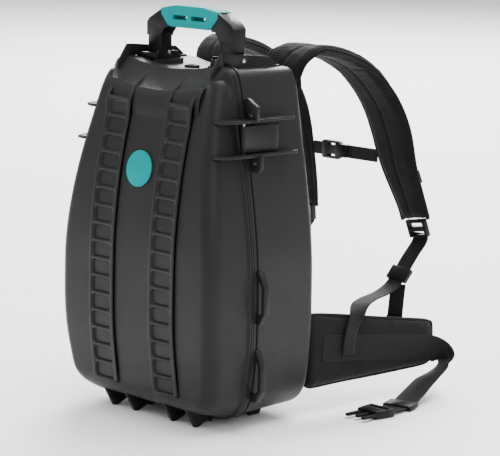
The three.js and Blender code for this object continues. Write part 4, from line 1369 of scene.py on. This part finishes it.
# Middle line of a waist strap: out, back, up, and how far it has turned flat.
WAIST_ROWS = (
    (146.2, 156, 95, 0), (148.8, 205, 90, 0), (151.8, 262, 83, 0), (155.8, 330, 75, 0), (158.8, 368, 69, 0),
    (163, 388, 61, 0.03), (169, 397, 48, 0.4), (170, 384, 35, 0.75), (177, 347, 25, 0.95), (190, 305, 13, 1),
    (203, 268, 5.8, 1), (208, 240, 4.5, 1), (210, 222.3, 6.2, 1),
)
# A waist wing along its length: out, back, lower edge and upper edge.
WING_ROWS = (
    (137.3, 131, 42, 142), (137.3, 138, 38, 146), (137.4, 152, 37, 146), (140, 205, 38, 138),
    (143, 262, 38, 128),
    (147, 330, 39, 117), (149, 366, 40, 111), (149, 380, 43, 107), (149, 386, 50, 100),
)


@dataclass
class BackPads:
    """Back pad and lumbar pad on the base, with their sewn channels."""

    def build(self, looks: Finishes) -> None:
        """Builds and dresses both pads.

        Args:
            looks: The finishes.
        """
        for node in ("back_pad", "lumbar_pad"):
            pad = padded_form(node, f"{node}_sewn", 5, 2.0, 6)
            front = CASE_SHIFT + 127.35 * MM
            low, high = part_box(node)
            rows = 4 if node == "back_pad" else 2
            for v in pad.data.vertices:
                v.co.y = max(v.co.y, front)
                height = (v.co.z - low[2]) / (high[2] - low[2]) * rows
                near = abs(height - round(height)) / rows * (high[2] - low[2]) / MM
                inner = 0 < round(height) < rows
                spine = abs(v.co.x) / MM
                dip = (4.0 * math.exp(-(near / 4) ** 2) if inner else 0) + 6.0 * math.exp(-(spine / 16) ** 2)
                share = min(1.0, max(0.0, (v.co.y - front) / (14 * MM)))
                v.co.y -= dip * MM * share
            dress(pad, looks.pad, Body.BASE, "pad_fabric", node)


@dataclass
class ShoulderStraps:
    """Padded shoulder straps with binding, seams, webbing and its lower run."""

    width: float = 75
    thick: float = 14
    web_width: float = 25
    web_thick: float = 1.8
    web_across: float = 9
    end_width: float = 52
    seam: float = 30.5
    stations: int = 240
    steps: int = 110

    @staticmethod
    def middle(name: str, sign: int, count: int) -> list[Vector]:
        """Middle line of one strap.

        Args:
            name: left or right.
            sign: Side of the pack, -1 for left and 1 for right.
            count: Steps along it.

        Returns:
            Its points.
        """
        shift = 1 if name == "left" else 0
        rows = [at(sign * out + shift * inward, back, up) for out, back, up, inward in STRAP_ROWS]
        return spline(rows, count)

    @staticmethod
    def side(sign: int) -> Vector:
        """Direction across a strap.

        Args:
            sign: Side of the pack, -1 for left and 1 for right.

        Returns:
            The direction.
        """
        return Vector((sign, 0.1, 0)).normalized()

    def wide(self, share: float) -> float:
        """Width at a share of the length, against the full width: it narrows to the lower end.

        Args:
            share: Share of the length.

        Returns:
            The width, against the full one.
        """
        x = min(max((share - 0.74) / 0.22, 0), 1)
        return 1 - (1 - self.end_width / self.width) * x * x * (3 - 2 * x)

    def on(self, name: str, sign: int, across: float, lift: float, start: float) -> list[Vector]:
        """Line on the strap's outer face from a share of its length to its end.

        Args:
            name: left or right.
            sign: Side of the pack, -1 for left and 1 for right.
            across: Shift across the strap.
            lift: Distance over its face.
            start: Share of the length where it starts.

        Returns:
            Its points.
        """
        line = frames_along(self.middle(name, sign, self.steps), lambda _: self.side(sign))
        reach = sign * (self.thick / 2 + lift) * MM
        return [p + s * across * MM + n * reach for p, s, n in line[round(start * self.steps):]]

    def build(self, looks: Finishes) -> None:
        """Builds and dresses both straps.

        Args:
            looks: The finishes.
        """
        for name, sign in SIDES:
            pad = padded_form(f"shoulder_strap_{name}", f"shoulder_pad_{name}", 4, 0.3, 2, 3)
            line = frames_along(self.middle(name, sign, self.stations), lambda _: self.side(sign))
            stations = KDTree(len(line))
            for i, (p, _, _) in enumerate(line):
                stations.insert(p, i)
            stations.balance()
            for v in pad.data.vertices:
                share = stations.find(v.co)[1]
                p, s, n = line[share]
                across, out = (v.co - p).dot(s) / MM / self.wide(share / self.stations), (v.co - p).dot(n) / MM
                groove = 1.7 * math.exp(-(across / 2.2) ** 2)
                edge = 1.2 * math.exp(-((abs(across) - self.seam) / 1.6) ** 2)
                crease = 0.8 * noise.noise(v.co * 26) * (1 - (across / 40) ** 2)
                v.co -= n * math.copysign((groove + edge) * MM, out)
                v.co += n * math.copysign(crease * MM, out)
            dress(pad, looks.pad, Body.BASE, "pad_fabric", f"shoulder_strap_{name}")
            for edge, label in ((-1, "inner"), (1, "outer")):
                frames = frames_along(self.middle(name, sign, self.steps), lambda _: self.side(sign))
                line_edge = [p + s * edge * (self.width / 2 - 2.6) * self.wide(k / self.steps) * MM
                             for k, (p, s, _) in enumerate(frames)]
                cord = piping(f"strap_binding_{label}_{name}", line_edge, 3.2)
                dress(cord, looks.trim, Body.BASE, "pad_fabric")
                reach = sign * (self.thick / 2 - 0.6) * MM
                row = [p + s * edge * self.seam * self.wide(k / self.steps) * MM + n * reach
                       for k, (p, s, n) in enumerate(frames)][2:-2]
                dress(stitches(f"strap_stitch_{label}_{name}", row), looks.thread, Body.BASE, "webbing")
            web = self.on(name, sign, self.web_across, FIT + self.web_thick / 2, 13 / 22)
            dress(band(f"strap_band_{name}", web, lambda _: self.side(sign), self.web_width, self.web_thick),
                  looks.band, Body.BASE, "webbing", f"strap_webbing_{name}")
            self.lower(name, sign, looks)

    def lower(self, name: str, sign: int, looks: Finishes) -> None:
        """Lower webbing of one side, with its loose end.

        Args:
            name: left or right.
            sign: Side of the pack, -1 for left and 1 for right.
            looks: The finishes.
        """
        shift = 1 if name == "left" else 0
        rows = [at(sign * out + shift * inward, back, up) for out, back, up, inward in LOWER_ROWS]

        def side(t: float) -> Vector:
            """Direction across the band: it turns from flat to upright over its middle.

            Args:
                t: Share of the length.

            Returns:
                The direction.
            """
            x = min(max((t - 0.35) / 0.45, 0), 1)
            turn = x * x * (3 - 2 * x)
            return Vector((sign * (1 - turn), 0.3 + 0.7 * turn, 0))

        dress(band(f"lower_band_{name}", spline(rows, 90), side, self.web_width, self.web_thick),
              looks.band, Body.BASE, "webbing", f"lower_webbing_{name}")
        top = spline(rows[1:], 18)[4]
        x, y, z = top.x, top.y - 2 * MM, top.z - 14.5 * MM
        tail = spline([Vector((x, y, z)), Vector((x + sign * MM, y - 5 * MM, z - 28 * MM)),
                       Vector((x, y - 7 * MM, z - 56 * MM))], 24)
        across = side(0)
        hem = [Vector((x, y - 7 * MM, z - (48 + k * 1.1) * MM)) for k in range(9)]
        loose = joined(f"tail_band_{name}", [
            band("tail", tail, lambda _: across, self.web_width, self.web_thick, 0.8),
            band("hem", hem, lambda _: across, self.web_width + 1.4, self.web_thick * 2.8),
        ])
        dress(loose, looks.band, Body.BASE, "webbing", f"lower_tail_{name}")


@dataclass
class WaistBelt:
    """Waist wings with their binding and stitched patch, and the waist straps down to the floor."""

    thick: float = 14
    belt: float = 38
    web_thick: float = 1.8

    def build(self, looks: Finishes) -> None:
        """Builds and dresses both sides.

        Args:
            looks: The finishes.
        """
        for name, sign in SIDES:
            wing = padded_form(f"waist_wing_{name}", f"waist_pad_{name}", 4, 0.3, 2, 3)
            for v in wing.data.vertices:
                v.co += v.normal * 0.7 * MM * noise.noise(v.co * 24)
            dress(wing, looks.pad, Body.BASE, "pad_fabric", f"waist_wing_{name}")
            upper = [at(sign * out, back, high - 2.4) for out, back, _, high in WING_ROWS]
            lower = [at(sign * out, back, low + 2.4) for out, back, low, _ in WING_ROWS]
            edge = spline(upper + lower[::-1], 150)
            dress(piping(f"wing_binding_{name}", edge, 3.2), looks.trim, Body.BASE, "pad_fabric")
            rows = [at(sign * out, back, up) for out, back, up, _ in WAIST_ROWS]

            def side(t: float) -> Vector:
                """Direction across the strap: upright on the wing, flat on the floor.

                Args:
                    t: Share of the length.

                Returns:
                    The direction.
                """
                place = t * (len(WAIST_ROWS) - 1)
                i = min(int(place), len(WAIST_ROWS) - 2)
                turn = WAIST_ROWS[i][3] + (WAIST_ROWS[i + 1][3] - WAIST_ROWS[i][3]) * (place - i)
                angle = turn * math.pi / 2
                return Vector((sign * math.sin(angle), 0.15 * turn, math.cos(angle)))

            dress(band(f"waist_band_{name}", spline(rows, 160), side, self.belt, self.web_thick),
                  looks.band, Body.BASE, "webbing", f"waist_strap_{name}")
            self.patch(name, sign, looks)

    def patch(self, name: str, sign: int, looks: Finishes) -> None:
        """Box of stitches that sews the strap to the wing.

        Args:
            name: left or right.
            sign: Side of the pack, -1 for left and 1 for right.
            looks: The finishes.
        """
        def spot(back: float, up: float) -> Vector:
            """Place on the strap's outer face.

            Args:
                back: Place back from the seam.
                up: Height.

            Returns:
                The place in metres.
            """
            return at(sign * (148.8 + (back - 205) * 0.05 + 1.2), back, up)

        corners = [spot(192, 103), spot(234, 98), spot(234, 73), spot(192, 78)]
        lines = [corners + corners[:1], [corners[0], corners[2]], [corners[1], corners[3]]]
        rows = [stitches(f"box_{k}", [a.lerp(b, t / 12) for a, b in zip(line, line[1:]) for t in range(13)])
                for k, line in enumerate(lines)]
        dress(joined(f"box_stitch_{name}", rows), looks.thread, Body.BASE, "webbing")


@dataclass
class ChestStrap:
    """Two ends of the chest strap, on either side of its buckle."""

    left: float = -56.9
    right: float = 76.4
    female: float = -37
    male: float = 15
    back: float = 338.3
    up: float = 352

    def build(self, looks: Finishes) -> None:
        """Builds and dresses both ends.

        Args:
            looks: The finishes.
        """
        ends = (("right", self.male + FIT, self.right), ("left", self.left, self.female - FIT))
        for name, start, end in ends:
            path = [at(start + (end - start) * k / 20, self.back, self.up) for k in range(21)]
            dress(band(f"chest_band_{name}", path, lambda _: Vector((0, 0, 1)), 20, 1.8),
                  looks.band, Body.BASE, "webbing", f"chest_webbing_{name}")


# ---------------------------------------------------------------- stage


@dataclass
class Stage:
    """Floor, soft lights and the photograph's camera."""

    azimuth: float = 46.3
    elevation: float = 9.7
    roll: float = 0.7
    focal_px: float = 2356.5
    distance: float = 3409.9
    origin_px: tuple[float, float] = (173.1, 411.4)
    image_px: tuple[float, float] = (500, 456)

    def camera(self) -> None:
        """Sets the camera where the photograph was taken from."""
        a, e, r = (math.radians(v) for v in (self.azimuth, self.elevation, self.roll))
        right = Vector((math.cos(a), math.sin(a), 0))
        up = Vector((-math.sin(a) * math.sin(e), math.cos(a) * math.sin(e), math.cos(e)))
        view = Vector((-math.sin(a) * math.cos(e), math.cos(a) * math.cos(e), -math.sin(e)))
        right, up = right * math.cos(r) + up * math.sin(r), up * math.cos(r) - right * math.sin(r)
        off_x = (self.origin_px[0] - self.image_px[0] / 2) / self.focal_px * self.distance
        off_y = -(self.origin_px[1] - self.image_px[1] / 2) / self.focal_px * self.distance
        place = (right * off_x + up * off_y + view * self.distance) * -MM + at(0, 0, 0)
        data = bpy.data.cameras.new("camera")
        data.sensor_width = 36
        data.lens = self.focal_px / self.image_px[0] * data.sensor_width
        data.clip_end = 100
        camera = bpy.data.objects.new("camera", data)
        bpy.context.scene.collection.objects.link(camera)
        camera.matrix_world = Matrix.Translation(place) @ Matrix((right, up, -view)).transposed().to_4x4()
        bpy.context.scene.camera = camera

    def lamp(self, name: str, place: Vector, size: float, power: float) -> None:
        """Adds a soft area light that faces the pack.

        Args:
            name: The light's name.
            place: Where it hangs, in metres.
            size: Diameter in metres.
            power: Power in watts.
        """
        data = bpy.data.lights.new(name, "AREA")
        data.shape = "DISK"
        data.size = size
        data.energy = power
        lamp = bpy.data.objects.new(name, data)
        bpy.context.scene.collection.objects.link(lamp)
        aim = Vector((0, 0, 0.28)) - place
        lamp.matrix_world = Matrix.Translation(place) @ aim.to_track_quat("-Z", "Y").to_matrix().to_4x4()

    def build(self) -> None:
        """Builds the stage."""
        self.camera()
        bpy.ops.object.select_all(action="DESELECT")
        bpy.ops.mesh.primitive_plane_add(size=30, location=(0, 0, 0))
        floor = bpy.context.active_object
        floor.name = "floor"
        n = Nodes("pale_floor")
        cloud = n.noise(n.place, 3, 2)
        n.put(n.shader, "Base Color", n.ramp(cloud, (0.2, (0.93, 0.93, 0.93)), (0.8, (0.97, 0.97, 0.97))))
        n.shader.inputs["Roughness"].default_value = 0.8
        floor.data.materials.append(n.material)
        world = bpy.data.worlds.new("studio")
        world.use_nodes = True
        world.node_tree.nodes["Background"].inputs["Color"].default_value = (1, 1, 1, 1)
        world.node_tree.nodes["Background"].inputs["Strength"].default_value = 1.0
        bpy.context.scene.world = world
        self.lamp("key", Vector((-1.2, -2.4, 2.6)), 1.6, 40)
        self.lamp("fill", Vector((3.0, -1.2, 1.8)), 2.0, 30)
        self.lamp("top", Vector((0.6, 0.8, 3.6)), 3.2, 190)
        self.lamp("backdrop", Vector((-3.5, 4.0, 4.0)), 4.0, 900)


def main() -> None:
    """Builds the stage and every part of the pack."""
    logging.basicConfig(level=logging.INFO, format="%(message)s")
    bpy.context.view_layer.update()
    Stage().build()
    looks = Finishes.made()
    form = CaseForm()
    for part in (Lid(form), Base(form), Hardware(), BackPads(), ShoulderStraps(), WaistBelt(), ChestStrap()):
        part.build(looks)


if __name__ == "__main__":
    main()
